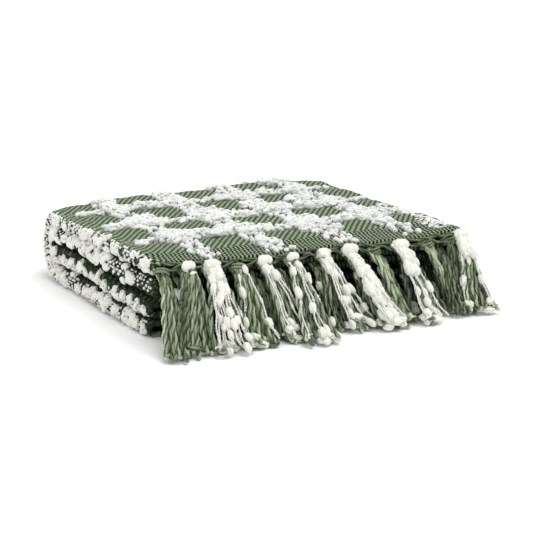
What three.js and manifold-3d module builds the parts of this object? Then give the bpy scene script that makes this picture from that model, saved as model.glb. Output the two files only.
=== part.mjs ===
// Chenille throw, folded flat for a shelf.
// A chunky check cloth is folded into four plies across its width, and that strip is folded
// once across its length, with the turn at the back and both fringed ends at the front.
// Millimetres, +Z up. X runs along the fringed front edge and Y runs to the turn at the back.
// The origin is on the flat underside of the lowest ply, below the middle of the stack.

import * as THREE from 'three';
import { mergeVertices } from 'three/addons/utils/BufferGeometryUtils.js';
import Module from 'manifold-3d';

const wasm = await Module();
wasm.setup();

// Folded stack
const HALF_WIDTH = 162.5;
const STACK_HEIGHT = 73;
const CLOTH_THICKNESS = 5.5;
const PACK_GAP = 3;
const TURN_Y = 116.5;
const TURN_SKEW = 10;
const UPPER_FRONT_Y = -146;
const UPPER_FRONT_SKEW = -18;
const LOWER_FRONT_Y = -128;
const LOWER_FRONT_SKEW = -8;

// The turn starts further back in the middle than at the folded sides.
const TURN_BULGE = 16;
const TURN_BULGE_POWER = 5;

// The crease between the two packs rises from the front towards the turn.
const CREASE_FRONT_HEIGHT = 35.3;
const CREASE_BACK_RISE = 6.5;
const CREASE_RISE_FROM_Y = -100;
const CREASE_RISE_TO_Y = 40;

// The top ply dips towards its edges and along the fringe, and it is never quite level.
const EDGE_DIP = 1.6;
const EDGE_DIP_POWER = 4;
const FRONT_DIP = 3.5;
const FRONT_DIP_FROM = 0.8;
const TOP_WAVE = 0.7;
const TOP_WAVE_LENGTH_X = 150;
const TOP_WAVE_LENGTH_Y = 190;
const TOP_WAVE_PHASE = 1;

// Squareness of the turn at the back: 2 is round, more is boxy, less is cut across.
const UPPER_TURN_POWER = 3.6;
const LOWER_TURN_POWER = 1.7;

// Plies, and samples of the sweep
const PLY_COUNT = 4;
const OUTER_PLY = PLY_COUNT - 1;
const PLY_STEPS = 10;
const FOLD_STEPS = 6;
const PACK_STEPS = 8;
const TURN_STEPS = 10;

// Plies, counted from the crease between the packs outwards. Each pack shares its height out
// between its plies by these weights: the gap that each row names is the one inside it.
const PLY_SPACING = [
  { gap: 'inside the inner fold', upperFront: 1.24, upperBack: 1.0, lower: 1.0 },
  { gap: 'between the two folds', upperFront: 0.9, upperBack: 0.94, lower: 0.94 },
  { gap: 'inside the outer fold', upperFront: 0.86, upperBack: 1.06, lower: 1.06 },
];

// How far each fold or selvedge reaches from the middle, and how much it wanders.
const EDGES = {
  outerLeftFold: { upper: 162.5, lower: 167.5, wander: 1.2, waves: 1.3, phase: 0.4 },
  innerLeftFold: { upper: 164.5, lower: 166.0, wander: 1.4, waves: 1.7, phase: 2.1 },
  rightFold: { upper: 163.0, lower: 164.0, wander: 1.5, waves: 1.1, phase: 4.0 },
  outerSelvedge: { upper: 162.0, lower: 159.0, wander: 1.8, waves: 1.4, phase: 1.2 },
  innerSelvedge: { upper: 159.0, lower: 157.0, wander: 1.8, waves: 0.9, phase: 5.1 },
};

// Fringe combs
const JOIN_GAP = 0.3;
const HEADER_DEPTH = 5;
const HEADER_INSET = 0.6;
const TASSEL_ROOT_DEPTH = 3;
const TASSEL_SIDES = 6;
const TASSEL_STEPS = 6;
const TASSEL_FLOOR_CLEARANCE = 0.4;
const TASSEL_NECK = 0.62;
const TASSEL_FULL_FROM = 0.6;

// Handles of a tassel's bow, as shares of its lean, of its run forward and of its drop.
const TASSEL_BOW = [
  { lean: 0.2, run: 0.42, drop: 0.02 },
  { lean: 0.7, run: 0.66, drop: 0.75 },
  { lean: 1, run: 1, drop: 1 },
];

// Tassels of the top ply, as they hang: where each leaves the edge, how far it leans along X,
// how far it runs forward to the floor, and how wide it is.
const TOP_TASSELS = [
  { x: -153, lean: -27, run: 62, width: 17 },
  { x: -133, lean: -4, run: 60, width: 17 },
  { x: -107, lean: -10, run: 68, width: 19 },
  { x: -82, lean: -2, run: 66, width: 17 },
  { x: -55, lean: 0, run: 76, width: 17 },
  { x: -32, lean: 0, run: 76, width: 16 },
  { x: 6, lean: -6, run: 78, width: 18 },
  { x: 38, lean: 3, run: 78, width: 20 },
  { x: 62, lean: 8, run: 72, width: 17 },
  { x: 91, lean: 3, run: 70, width: 17 },
  { x: 115, lean: 2, run: 66, width: 18 },
  { x: 137, lean: 6, run: 58, width: 15 },
  { x: 152, lean: 12, run: 52, width: 15 },
];

// Tassels behind the top row fill the wedge below it, a row for each ply.
const HIDDEN_ROWS = [
  { comb: 'upper', ply: 2, count: 7, run: 50, width: 30, thickness: 5.5 },
  { comb: 'upper', ply: 1, count: 5, run: 37, width: 40, thickness: 5 },
  { comb: 'upper', ply: 0, count: 5, run: 24, width: 40, thickness: 4.5 },
  { comb: 'lower', ply: 0, count: 5, run: 31, width: 40, thickness: 5 },
  { comb: 'lower', ply: 2, count: 5, run: 22, width: 40, thickness: 5 },
];
const TOP_TASSEL_THICKNESS = 7;
const HIDDEN_ROW_HALF_SPAN = 132;
const HIDDEN_ROW_LEAN = 8;

// Colours and finish
const CLOTH_COLOUR = 0xa9b8a0;
const FRINGE_COLOUR = 0x8fa283;
const CLOTH_ROUGHNESS = 0.95;

const smooth = THREE.MathUtils.smoothstep;
const mix = THREE.MathUtils.lerp;

function across(x) {
  return x / (2 * HALF_WIDTH);
}

function frontY(x, isUpper) {
  return isUpper
    ? UPPER_FRONT_Y + UPPER_FRONT_SKEW * across(x)
    : LOWER_FRONT_Y + LOWER_FRONT_SKEW * across(x);
}

function creaseHeight(y) {
  return CREASE_FRONT_HEIGHT + CREASE_BACK_RISE * smooth(y, CREASE_RISE_FROM_Y, CREASE_RISE_TO_Y);
}

function topHeight(x, y, forward) {
  const edge = EDGE_DIP * (x / HALF_WIDTH) ** EDGE_DIP_POWER;
  const front = FRONT_DIP * smooth(forward, FRONT_DIP_FROM, 1);
  const waveX = Math.sin(2 * Math.PI * x / TOP_WAVE_LENGTH_X + TOP_WAVE_PHASE);
  const waveY = Math.sin(2 * Math.PI * y / TOP_WAVE_LENGTH_Y);
  return STACK_HEIGHT - edge - front + TOP_WAVE * waveX * waveY;
}

// A station is a place along the strip: forward runs from 0 at the turn to 1 at the fringe,
// and angle goes round the turn from 0 on the upper pack to PI on the lower one.
function station(forward, angle) {
  return { forward, angle, isUpper: angle < Math.PI / 2 };
}

function stationsAlongStrip() {
  const list = [];
  for (let i = 0; i <= PACK_STEPS; i += 1) {
    list.push(station(1 - i / PACK_STEPS, 0));
  }
  for (let i = 1; i < TURN_STEPS; i += 1) {
    list.push(station(0, Math.PI * i / TURN_STEPS));
  }
  for (let i = 0; i <= PACK_STEPS; i += 1) {
    list.push(station(i / PACK_STEPS, Math.PI));
  }
  return list;
}

function turnStart(x) {
  const bulge = TURN_BULGE * (1 - Math.abs(x / HALF_WIDTH) ** TURN_BULGE_POWER);
  return TURN_Y + TURN_SKEW * across(x) + bulge;
}

function baseY(place, x) {
  return mix(turnStart(x), frontY(x, place.isUpper), place.forward);
}

// How much of the way round the turn a station lies, from 0 on the upper pack to 1 below.
function roundTurn(place) {
  return (1 - Math.cos(place.angle)) / 2;
}

// Height of the pack over the crease, measured outwards from it.
function packHeight(place, x) {
  const y = baseY(place, x);
  const upper = topHeight(x, y, place.isUpper ? place.forward : 0) - creaseHeight(y);
  const lower = creaseHeight(y);
  return mix(upper, lower, roundTurn(place));
}

// Distance of the middle of a ply from the crease.
function plyLevel(place, x, ply) {
  const weights = PLY_SPACING.map((row) => {
    const upper = mix(row.upperBack, row.upperFront, place.forward);
    return mix(upper, row.lower, roundTurn(place));
  });
  const total = weights.reduce((sum, weight) => sum + weight, 0);
  const inner = PACK_GAP / 2 + CLOTH_THICKNESS / 2;
  const room = packHeight(place, x) - inner - CLOTH_THICKNESS / 2;
  const below = weights.slice(0, ply).reduce((sum, weight) => sum + weight, 0);
  return inner + room * below / total;
}

function edgeReach(place, name) {
  const edge = EDGES[name];
  const along = place.forward * (place.isUpper ? 1 : -1);
  const wander = edge.wander * Math.sin(2 * Math.PI * edge.waves * along + edge.phase);
  return mix(edge.upper, edge.lower, roundTurn(place)) + wander;
}

function turnStretch(angle) {
  const power = angle < Math.PI / 2 ? UPPER_TURN_POWER : LOWER_TURN_POWER;
  const sum = Math.abs(Math.sin(angle)) ** power + Math.abs(Math.cos(angle)) ** power;
  return sum ** (-1 / power);
}

function placePoint(place, x, level, beyond = 0) {
  const y = baseY(place, x);
  const reach = level * turnStretch(place.angle);
  const z = creaseHeight(y) + reach * Math.cos(place.angle);
  return new THREE.Vector3(x, y - beyond + reach * Math.sin(place.angle), z);
}

// Points round a fold, between the ends of the two plies that it joins.
function foldArc(fold) {
  const points = [];
  for (let i = 1; i < FOLD_STEPS; i += 1) {
    const angle = Math.PI * i / FOLD_STEPS;
    const outX = fold.side * Math.sin(angle);
    const outLevel = Math.cos(angle);
    points.push({
      x: fold.centreX + fold.radius * outX,
      level: fold.centreLevel + fold.radius * outLevel,
      normalX: fold.side * outX,
      normalLevel: fold.side * outLevel,
    });
  }
  return points;
}

// Centre line of the four plies across one station, from the outer selvedge to the inner one.
// Each point holds its distance from the middle, its level and its unit normal.
function foldedCentreLine(place) {
  const half = CLOTH_THICKNESS / 2;
  const level = (ply, x) => plyLevel(place, x, ply);
  const folds = [
    { side: -1, reach: edgeReach(place, 'outerLeftFold'), from: OUTER_PLY, to: 2 },
    { side: 1, reach: edgeReach(place, 'rightFold'), from: 2, to: 1 },
    { side: -1, reach: edgeReach(place, 'innerLeftFold'), from: 1, to: 0 },
  ].map((fold) => {
    const edgeX = fold.side * fold.reach;
    const radius = (level(fold.from, edgeX) - level(fold.to, edgeX)) / 2;
    const centreLevel = (level(fold.from, edgeX) + level(fold.to, edgeX)) / 2;
    return { ...fold, radius, centreLevel, centreX: fold.side * (fold.reach - half - radius) };
  });
  const ends = [
    edgeReach(place, 'outerSelvedge'),
    ...folds.map((fold) => fold.centreX),
    edgeReach(place, 'innerSelvedge'),
  ];
  const plies = [];
  for (let run = 0; run < PLY_COUNT; run += 1) {
    const ply = OUTER_PLY - run;
    const heading = run % 2 === 0 ? -1 : 1;
    const points = [];
    for (let i = 0; i <= PLY_STEPS; i += 1) {
      const x = mix(ends[run], ends[run + 1], i / PLY_STEPS);
      points.push({ x, level: level(ply, x), normalX: 0, normalLevel: heading });
    }
    plies.push(points);
  }
  return plies.flatMap((points, run) => {
    const arc = run < folds.length ? foldArc(folds[run]) : [];
    return [...points, ...arc];
  });
}

// Closed outline of the folded cloth: one face of the centre line, then the other one back.
function foldedOutline(place, thickness, beyond) {
  const line = foldedCentreLine(place);
  const offset = (point, sign) => placePoint(
    place,
    point.x + sign * point.normalX * thickness / 2,
    point.level + sign * point.normalLevel * thickness / 2,
    beyond,
  );
  return [...line.map((point) => offset(point, 1)), ...line.map((point) => offset(point, -1)).reverse()];
}

// Closed solid through rings of equal length. The ends are capped across from each point of a
// ring to the one that faces it.
function ringSolid(rings) {
  const size = rings[0].length;
  const positions = rings.flat().flatMap((point) => [point.x, point.y, point.z]);
  const index = [];
  for (let r = 0; r + 1 < rings.length; r += 1) {
    for (let i = 0; i < size; i += 1) {
      const a = r * size + i;
      const b = r * size + (i + 1) % size;
      index.push(a, b, a + size, b, b + size, a + size);
    }
  }
  const last = (rings.length - 1) * size;
  for (let i = 0; i + 1 < size / 2; i += 1) {
    const far = size - 1 - i;
    index.push(i, far, i + 1, far, far - 1, i + 1);
    index.push(last + i, last + i + 1, last + far, last + far, last + i + 1, last + far - 1);
  }
  const geometry = new THREE.BufferGeometry();
  geometry.setAttribute('position', new THREE.Float32BufferAttribute(positions, 3));
  geometry.setIndex(index);
  return faceOutwards(geometry);
}

function signedVolume(geometry) {
  const position = geometry.getAttribute('position');
  const corners = [new THREE.Vector3(), new THREE.Vector3(), new THREE.Vector3()];
  let volume = 0;
  for (let i = 0; i < geometry.index.count; i += 3) {
    corners.forEach((corner, c) => corner.fromBufferAttribute(position, geometry.index.getX(i + c)));
    volume += corners[0].dot(corners[1].clone().cross(corners[2])) / 6;
  }
  return volume;
}

function faceOutwards(geometry) {
  if (signedVolume(geometry) >= 0) return geometry;
  const flipped = [];
  for (let i = 0; i < geometry.index.count; i += 3) {
    flipped.push(geometry.index.getX(i), geometry.index.getX(i + 2), geometry.index.getX(i + 1));
  }
  geometry.setIndex(flipped);
  return geometry;
}

function toManifold(geometry) {
  const merged = mergeVertices(geometry);
  return new wasm.Manifold(new wasm.Mesh({
    numProp: 3,
    vertProperties: new Float32Array(merged.getAttribute('position').array),
    triVerts: new Uint32Array(merged.index.array),
  }));
}

function toGeometry(manifold) {
  const mesh = manifold.getMesh();
  const geometry = new THREE.BufferGeometry();
  geometry.setAttribute('position', new THREE.BufferAttribute(new Float32Array(mesh.vertProperties), 3));
  geometry.setIndex(new THREE.BufferAttribute(new Uint32Array(mesh.triVerts), 1));
  return geometry;
}

// Cloth

function clothGeometry() {
  return ringSolid(stationsAlongStrip().map((place) => foldedOutline(place, CLOTH_THICKNESS, 0)));
}

// Fringe

// The knotted heading runs along the folded end of the cloth, just in front of it.
function headerSolid(place) {
  const thickness = CLOTH_THICKNESS - 2 * HEADER_INSET;
  const depths = [JOIN_GAP, JOIN_GAP + HEADER_DEPTH];
  return toManifold(ringSolid(depths.map((depth) => foldedOutline(place, thickness, depth))));
}

// One tassel: a flat oval bundle that leaves the edge, bows forward and falls to the floor.
function tasselSolid(place, ply, tassel, thickness) {
  const root = placePoint(place, tassel.x, plyLevel(place, tassel.x, ply), JOIN_GAP + TASSEL_ROOT_DEPTH);
  const tipHeight = thickness / 2 + TASSEL_FLOOR_CLEARANCE;
  const drop = root.z - tipHeight;
  const handles = TASSEL_BOW.map((bow) => new THREE.Vector3(
    root.x + tassel.lean * bow.lean,
    root.y - tassel.run * bow.run,
    root.z - drop * bow.drop,
  ));
  const path = new THREE.CubicBezierCurve3(root, ...handles);
  const side = new THREE.Vector3(1, 0, 0);
  const rings = [];
  for (let i = 0; i <= TASSEL_STEPS; i += 1) {
    const share = i / TASSEL_STEPS;
    const centre = path.getPoint(share);
    const out = side.clone().cross(path.getTangent(share)).normalize();
    const spread = mix(TASSEL_NECK, 1, smooth(share, 0, TASSEL_FULL_FROM));
    const ring = [];
    for (let s = 0; s < TASSEL_SIDES; s += 1) {
      const angle = 2 * Math.PI * (s + 0.5) / TASSEL_SIDES;
      ring.push(centre.clone()
        .addScaledVector(side, Math.cos(angle) * spread * tassel.width / 2)
        .addScaledVector(out, Math.sin(angle) * thickness / 2));
    }
    rings.push(ring);
  }
  return toManifold(ringSolid(rings));
}

function hiddenTassels(row) {
  const list = [];
  for (let i = 0; i < row.count; i += 1) {
    const x = mix(-HIDDEN_ROW_HALF_SPAN, HIDDEN_ROW_HALF_SPAN, i / (row.count - 1));
    const lean = HIDDEN_ROW_LEAN * x / HIDDEN_ROW_HALF_SPAN;
    list.push({ x, lean, run: row.run, width: row.width });
  }
  return list;
}

function combGeometry(comb) {
  const place = comb === 'upper' ? station(1, 0) : station(1, Math.PI);
  let solid = headerSolid(place);
  if (comb === 'upper') {
    TOP_TASSELS.forEach((tassel) => {
      solid = solid.add(tasselSolid(place, OUTER_PLY, tassel, TOP_TASSEL_THICKNESS));
    });
  }
  HIDDEN_ROWS.filter((row) => row.comb === comb).forEach((row) => {
    hiddenTassels(row).forEach((tassel) => {
      solid = solid.add(tasselSolid(place, row.ply, tassel, row.thickness));
    });
  });
  return toGeometry(solid);
}

// Assembly

function namedMesh(name, geometry, colour) {
  const finish = { color: colour, roughness: CLOTH_ROUGHNESS, metalness: 0 };
  const material = new THREE.MeshStandardMaterial(finish);
  const mesh = new THREE.Mesh(geometry, material);
  mesh.name = name;
  return mesh;
}

const chenilleThrow = new THREE.Group();
chenilleThrow.add(
  namedMesh('throw_cloth', clothGeometry(), CLOTH_COLOUR),
  namedMesh('upper_fringe', combGeometry('upper'), FRINGE_COLOUR),
  namedMesh('lower_fringe', combGeometry('lower'), FRINGE_COLOUR),
);

export default chenilleThrow;
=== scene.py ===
"""Chenille throw, folded flat for a shelf.

A chunky check cloth is folded into four plies across its width, and that strip is folded once
across its length, with the turn at the back and both fringed ends at the front. Metres, +Z up.
X runs along the fringed front edge and Y runs to the turn at the back. On the top ply the weave's
own coordinates are u = -x, across the warp threads, and v = y, along them.
"""

import logging
import math
from dataclasses import dataclass, field, replace
from enum import Enum
from functools import cached_property, partialmethod

import bpy
import numpy as np
from bpy.types import Material, NodeSocket, Object
from mathutils import Matrix, Vector

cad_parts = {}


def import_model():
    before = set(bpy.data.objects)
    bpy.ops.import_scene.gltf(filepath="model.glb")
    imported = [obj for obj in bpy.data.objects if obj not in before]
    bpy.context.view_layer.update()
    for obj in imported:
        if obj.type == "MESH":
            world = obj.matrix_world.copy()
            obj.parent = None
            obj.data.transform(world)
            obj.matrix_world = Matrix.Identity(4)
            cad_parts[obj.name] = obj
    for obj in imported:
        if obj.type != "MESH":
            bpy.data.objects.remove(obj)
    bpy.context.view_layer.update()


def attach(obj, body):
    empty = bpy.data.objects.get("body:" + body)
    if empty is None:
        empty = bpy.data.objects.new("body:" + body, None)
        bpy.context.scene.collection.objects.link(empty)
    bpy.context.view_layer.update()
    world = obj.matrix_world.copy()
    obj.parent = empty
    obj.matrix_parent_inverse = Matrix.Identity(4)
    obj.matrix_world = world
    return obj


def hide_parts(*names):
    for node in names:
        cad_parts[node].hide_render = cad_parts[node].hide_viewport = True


Array = np.ndarray
Rng = np.random.Generator
Pair = tuple[float, float]
Triple = tuple[float, float, float]

LOG = logging.getLogger("throw")
BODY = "root"
OUTER_PLY = 3
TONE = "tone"
SHADE = "shade"
CLOTH_MAP = "cloth"
MM_PER_M = 1000
TURN_SAMPLES = 65
SPLINE_SAMPLES = 12
STEEP_TANGENT = 0.8
CAP_REACH = 0.5
TONE_TWIST = 7.0
WAIST_REACH = 0.17
COURSE_STEP = 0.0005
ROW_STRAY = 0.6


def linear(red: float, green: float, blue: float) -> tuple[float, float, float, float]:
    """Turns a screen colour of 0 to 255 into a linear one.

    Args:
        red: Red on the screen.
        green: Green on the screen.
        blue: Blue on the screen.

    Returns:
        The linear colour with an alpha of 1.
    """
    shares = [channel / 255 for channel in (red, green, blue)]
    bent = [s / 12.92 if s <= 0.04045 else ((s + 0.055) / 1.055) ** 2.4 for s in shares]
    return (bent[0], bent[1], bent[2], 1.0)


def mix(low: Array | float, high: Array | float, share: Array | float) -> Array:
    """Goes from low to high by a share."""
    return low + (high - low) * share


def smooth(value: Array | float, start: float, end: float) -> Array:
    """Rises softly from 0 at start to 1 at end."""
    share = np.clip((np.asarray(value) - start) / (end - start), 0, 1)
    return share * share * (3 - 2 * share)


def unit(vectors: Array) -> Array:
    """Scales each vector of the last axis to length 1."""
    return vectors / np.maximum(np.linalg.norm(vectors, axis=-1, keepdims=True), 1e-12)


def deselect_all() -> None:
    """Leaves nothing selected, since the imported model's nodes come in selected."""
    bpy.ops.object.select_all(action="DESELECT")


# Folded form


@dataclass(frozen=True)
class Place:
    """Stations along the folded strip.

    forward runs from 0 at the turn to 1 at the fringe. angle goes round the turn, from 0 on the
    upper pack to pi on the lower one.
    """

    forward: Array
    angle: Array

    @property
    def is_upper(self) -> Array:
        """Tells the stations of the upper pack."""
        return self.angle < math.pi / 2

    @property
    def round_turn(self) -> Array:
        """Share of the way round the turn, from 0 above to 1 below."""
        return (1 - np.cos(self.angle)) / 2


@dataclass(frozen=True)
class Reach:
    """How far a fold or selvedge stands from the middle, and how much it wanders."""

    upper: float
    lower: float
    wander: float
    waves: float
    phase: float


@dataclass(frozen=True)
class Fold:
    """A fold between two plies, on the left (-1) or right (1) side."""

    side: int
    reach: Reach
    outer_ply: int


@dataclass(frozen=True)
class FoldedStack:
    """The true folded form of the cloth, as formulas on its stations."""

    half_width: float = 0.1625
    stack_height: float = 0.073
    ply_room: float = 0.0055
    pack_gap: float = 0.003
    turn_y: float = 0.1165
    turn_skew: float = 0.010
    turn_bulge: float = 0.016
    turn_bulge_power: int = 5
    upper_front_y: float = -0.146
    upper_front_skew: float = -0.018
    lower_front_y: float = -0.128
    lower_front_skew: float = -0.008
    crease_front_height: float = 0.0353
    crease_back_rise: float = 0.0065
    crease_rise_from: float = -0.100
    crease_rise_to: float = 0.040
    edge_dip: float = 0.0016
    edge_rise: float = 0.0030
    edge_power: int = 3
    top_wave: float = 0.0007
    top_wave_length_x: float = 0.150
    top_wave_length_y: float = 0.190
    upper_turn_power: float = 3.6
    lower_turn_power: float = 1.7
    spacing_upper_front: tuple[float, ...] = (1.24, 0.9, 0.86)
    spacing_upper_back: tuple[float, ...] = (1.0, 0.94, 1.06)
    spacing_lower: tuple[float, ...] = (1.0, 0.94, 1.06)
    outer_left: Fold = Fold(-1, Reach(0.1625, 0.1675, 0.0012, 1.3, 0.4), 3)
    right: Fold = Fold(1, Reach(0.1630, 0.1640, 0.0015, 1.1, 4.0), 2)
    inner_left: Fold = Fold(-1, Reach(0.1645, 0.1660, 0.0014, 1.7, 2.1), 1)
    outer_selvedge: Reach = Reach(0.1620, 0.1590, 0.0018, 1.4, 1.2)
    inner_selvedge: Reach = Reach(0.1590, 0.1570, 0.0018, 0.9, 5.1)

    def across(self, x: Array | float) -> Array | float:
        """Place across the width, from -0.5 at the left to 0.5 at the right."""
        return x / (2 * self.half_width)

    def front_y(self, x: Array, is_upper: Array | bool) -> Array:
        """Y of the fringed end of a pack at x."""
        upper = self.upper_front_y + self.upper_front_skew * self.across(x)
        lower = self.lower_front_y + self.lower_front_skew * self.across(x)
        return np.where(is_upper, upper, lower)

    def turn_start(self, x: Array) -> Array:
        """Y at which the turn starts, further back in the middle than at the folded sides."""
        bulge = self.turn_bulge * (1 - np.abs(x / self.half_width) ** self.turn_bulge_power)
        return self.turn_y + self.turn_skew * self.across(x) + bulge

    def turn_room(self, x: Array) -> Array:
        """Length that the weave takes round the turn, so that its bands run straight beneath."""
        mean = self.turn_bulge * self.turn_bulge_power / (self.turn_bulge_power + 1)
        straight = self.turn_y + self.turn_skew * self.across(x) + mean
        return self.turn_course[2] + 2 * (straight - self.turn_start(x))

    def crease_height(self, y: Array) -> Array:
        """Height of the crease between the two packs."""
        rise = smooth(y, self.crease_rise_from, self.crease_rise_to)
        return self.crease_front_height + self.crease_back_rise * rise

    def top_height(self, x: Array, y: Array, forward: Array) -> Array:
        """Height of the top, whose side edges dip at the back and puff up at the front."""
        edge = mix(-self.edge_dip, self.edge_rise, smooth(forward, 0, 0.8))
        edge = edge * np.abs(x / self.half_width) ** self.edge_power
        wave_x = np.sin(math.tau * x / self.top_wave_length_x + 1)
        wave_y = np.sin(math.tau * y / self.top_wave_length_y)
        return self.stack_height + edge + self.top_wave * wave_x * wave_y

    def base_y(self, place: Place, x: Array) -> Array:
        """Y of a station before it swings out round the turn."""
        return mix(self.turn_start(x), self.front_y(x, place.is_upper), place.forward)

    def pack_height(self, place: Place, x: Array) -> Array:
        """Height of the pack outwards from the crease."""
        y = self.base_y(place, x)
        upper_forward = np.where(place.is_upper, place.forward, 0)
        upper = self.top_height(x, y, upper_forward) - self.crease_height(y)
        return mix(upper, self.crease_height(y), place.round_turn)

    def ply_level(self, place: Place, x: Array, ply: int) -> Array:
        """Distance of the middle of a ply from the crease."""
        weights = []
        rows = zip(self.spacing_upper_back, self.spacing_upper_front, self.spacing_lower)
        for back, front, lower in rows:
            weights.append(mix(mix(back, front, place.forward), lower, place.round_turn))
        inner = (self.pack_gap + self.ply_room) / 2
        room = self.pack_height(place, x) - inner - self.ply_room / 2
        return inner + room * sum(weights[:ply]) / sum(weights)

    def edge_reach(self, place: Place, reach: Reach) -> Array:
        """Distance of a fold or selvedge from the middle at each station."""
        along = place.forward * np.where(place.is_upper, 1, -1)
        wander = reach.wander * np.sin(math.tau * reach.waves * along + reach.phase)
        return mix(reach.upper, reach.lower, place.round_turn) + wander

    def turn_stretch(self, angle: Array) -> Array:
        """Stretches the half circle of the turn into its squarer shape."""
        power = np.where(angle < math.pi / 2, self.upper_turn_power, self.lower_turn_power)
        total = np.abs(np.sin(angle)) ** power + np.abs(np.cos(angle)) ** power
        return total ** (-1 / power)

    def point(self, place: Place, x: Array, level: Array, beyond: float = 0) -> Array:
        """Turns a place on the folded section into a point in space.

        Args:
            place: Stations of the points.
            x: Places across the width.
            level: Distances from the crease.
            beyond: Distance past the end of the cloth.

        Returns:
            Points with x, y and z on the last axis.
        """
        y = self.base_y(place, x)
        swing = level * self.turn_stretch(place.angle)
        out_y = y - beyond + swing * np.sin(place.angle)
        out_z = self.crease_height(y) + swing * np.cos(place.angle)
        return np.stack(np.broadcast_arrays(x, out_y, out_z), -1)

    def fold_centre(self, place: Place, fold: Fold) -> tuple[Array, Array, Array]:
        """Centre of a fold's arc.

        Args:
            place: Stations along the fold.
            fold: The fold.

        Returns:
            The arc's centre across the width, its level, and its radius at the middle of the ply.
        """
        reach = self.edge_reach(place, fold.reach)
        outer = self.ply_level(place, fold.side * reach, fold.outer_ply)
        inner = self.ply_level(place, fold.side * reach, fold.outer_ply - 1)
        radius = (outer - inner) / 2
        centre_x = fold.side * (reach - self.ply_room / 2 - radius)
        return centre_x, (outer + inner) / 2, radius

    @cached_property
    def turn_course(self) -> tuple[Array, Array, float]:
        """Angles round the turn, the share of its length passed at each, and that length."""
        angles = np.linspace(0, math.pi, TURN_SAMPLES)
        place = Place(np.zeros_like(angles), angles)
        x = np.zeros_like(angles)
        level = self.ply_level(place, x, OUTER_PLY) + self.ply_room / 2
        steps = np.linalg.norm(np.diff(self.point(place, x, level), axis=0), axis=-1)
        passed = np.concatenate([[0], np.cumsum(steps)])
        return angles, passed / passed[-1], float(passed[-1])

    def course(self, place: Place, x: Array) -> Array:
        """Length along the strip, equal to y on the upper pack."""
        angles, shares, _ = self.turn_course
        start, length = self.turn_start(x), self.turn_room(x)
        y = self.base_y(place, x)
        below = start + length + (start - y)
        turning = start + length * np.interp(place.angle, angles, shares)
        is_turning = (place.angle > 0) & (place.angle < math.pi)
        return np.where(is_turning, turning, np.where(place.is_upper, y, below))

    def place_at(self, course: Array, x: Array) -> Place:
        """Stations at which the strip has run a given length, the inverse of course."""
        angles, shares, _ = self.turn_course
        start, length = self.turn_start(x), self.turn_room(x)
        upper = (start - course) / (start - self.front_y(x, True))
        lower = (course - start - length) / (start - self.front_y(x, False))
        share = np.clip((course - start) / length, 0, 1)
        return Place(np.maximum(np.maximum(upper, lower), 0), np.interp(share, shares, angles))


@dataclass(frozen=True)
class Check:
    """White bands of the check, in the weave's own coordinates."""

    warp_at: float = 0.031
    warp_repeat: float = 0.0724
    weft_at: float = 0.0212
    weft_repeat: float = 0.0738
    weft_from: float = -0.100
    weft_to: float = 0.465
    half_band: float = 0.0130
    selvedge_from: float = -0.150
    selvedge_to: float = -0.048
    shift_at: Triple = (0.148, 0.172, 0.845)
    shifts: Triple = (0, -0.0175, -0.0485)

    def shift(self, u: Array) -> Array:
        """How far the weft bands have drifted from the strip's own course at u."""
        return np.interp(u, self.shift_at, self.shifts)

    def centres(self, start: float, end: float, at: float, repeat: float) -> Array:
        """Band centres from start to end."""
        first = math.ceil((start - at) / repeat)
        last = math.floor((end - at) / repeat)
        return at + repeat * np.arange(first, last + 1)

    def warps(self, start: float, end: float) -> Array:
        """Centres of the warp bands between two values of u."""
        return self.centres(start, end, self.warp_at, self.warp_repeat)

    def wefts(self, start: float, end: float) -> Array:
        """Centres of the weft bands between two values of v."""
        return self.centres(start, end, self.weft_at, self.weft_repeat)

    def near(self, value: "Array | Wire", at: float, repeat: float) -> "Array | Wire":
        """Distance of each value from its nearest band centre."""
        return abs((value - (at - repeat / 2)) % repeat - repeat / 2)


# Meshes


@dataclass
class Shape:
    """Faces of one or more like pieces, with a tone for each point."""

    points: Array
    faces: list[Array]
    tone: Array
    uv: list[Array] | None = None


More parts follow.
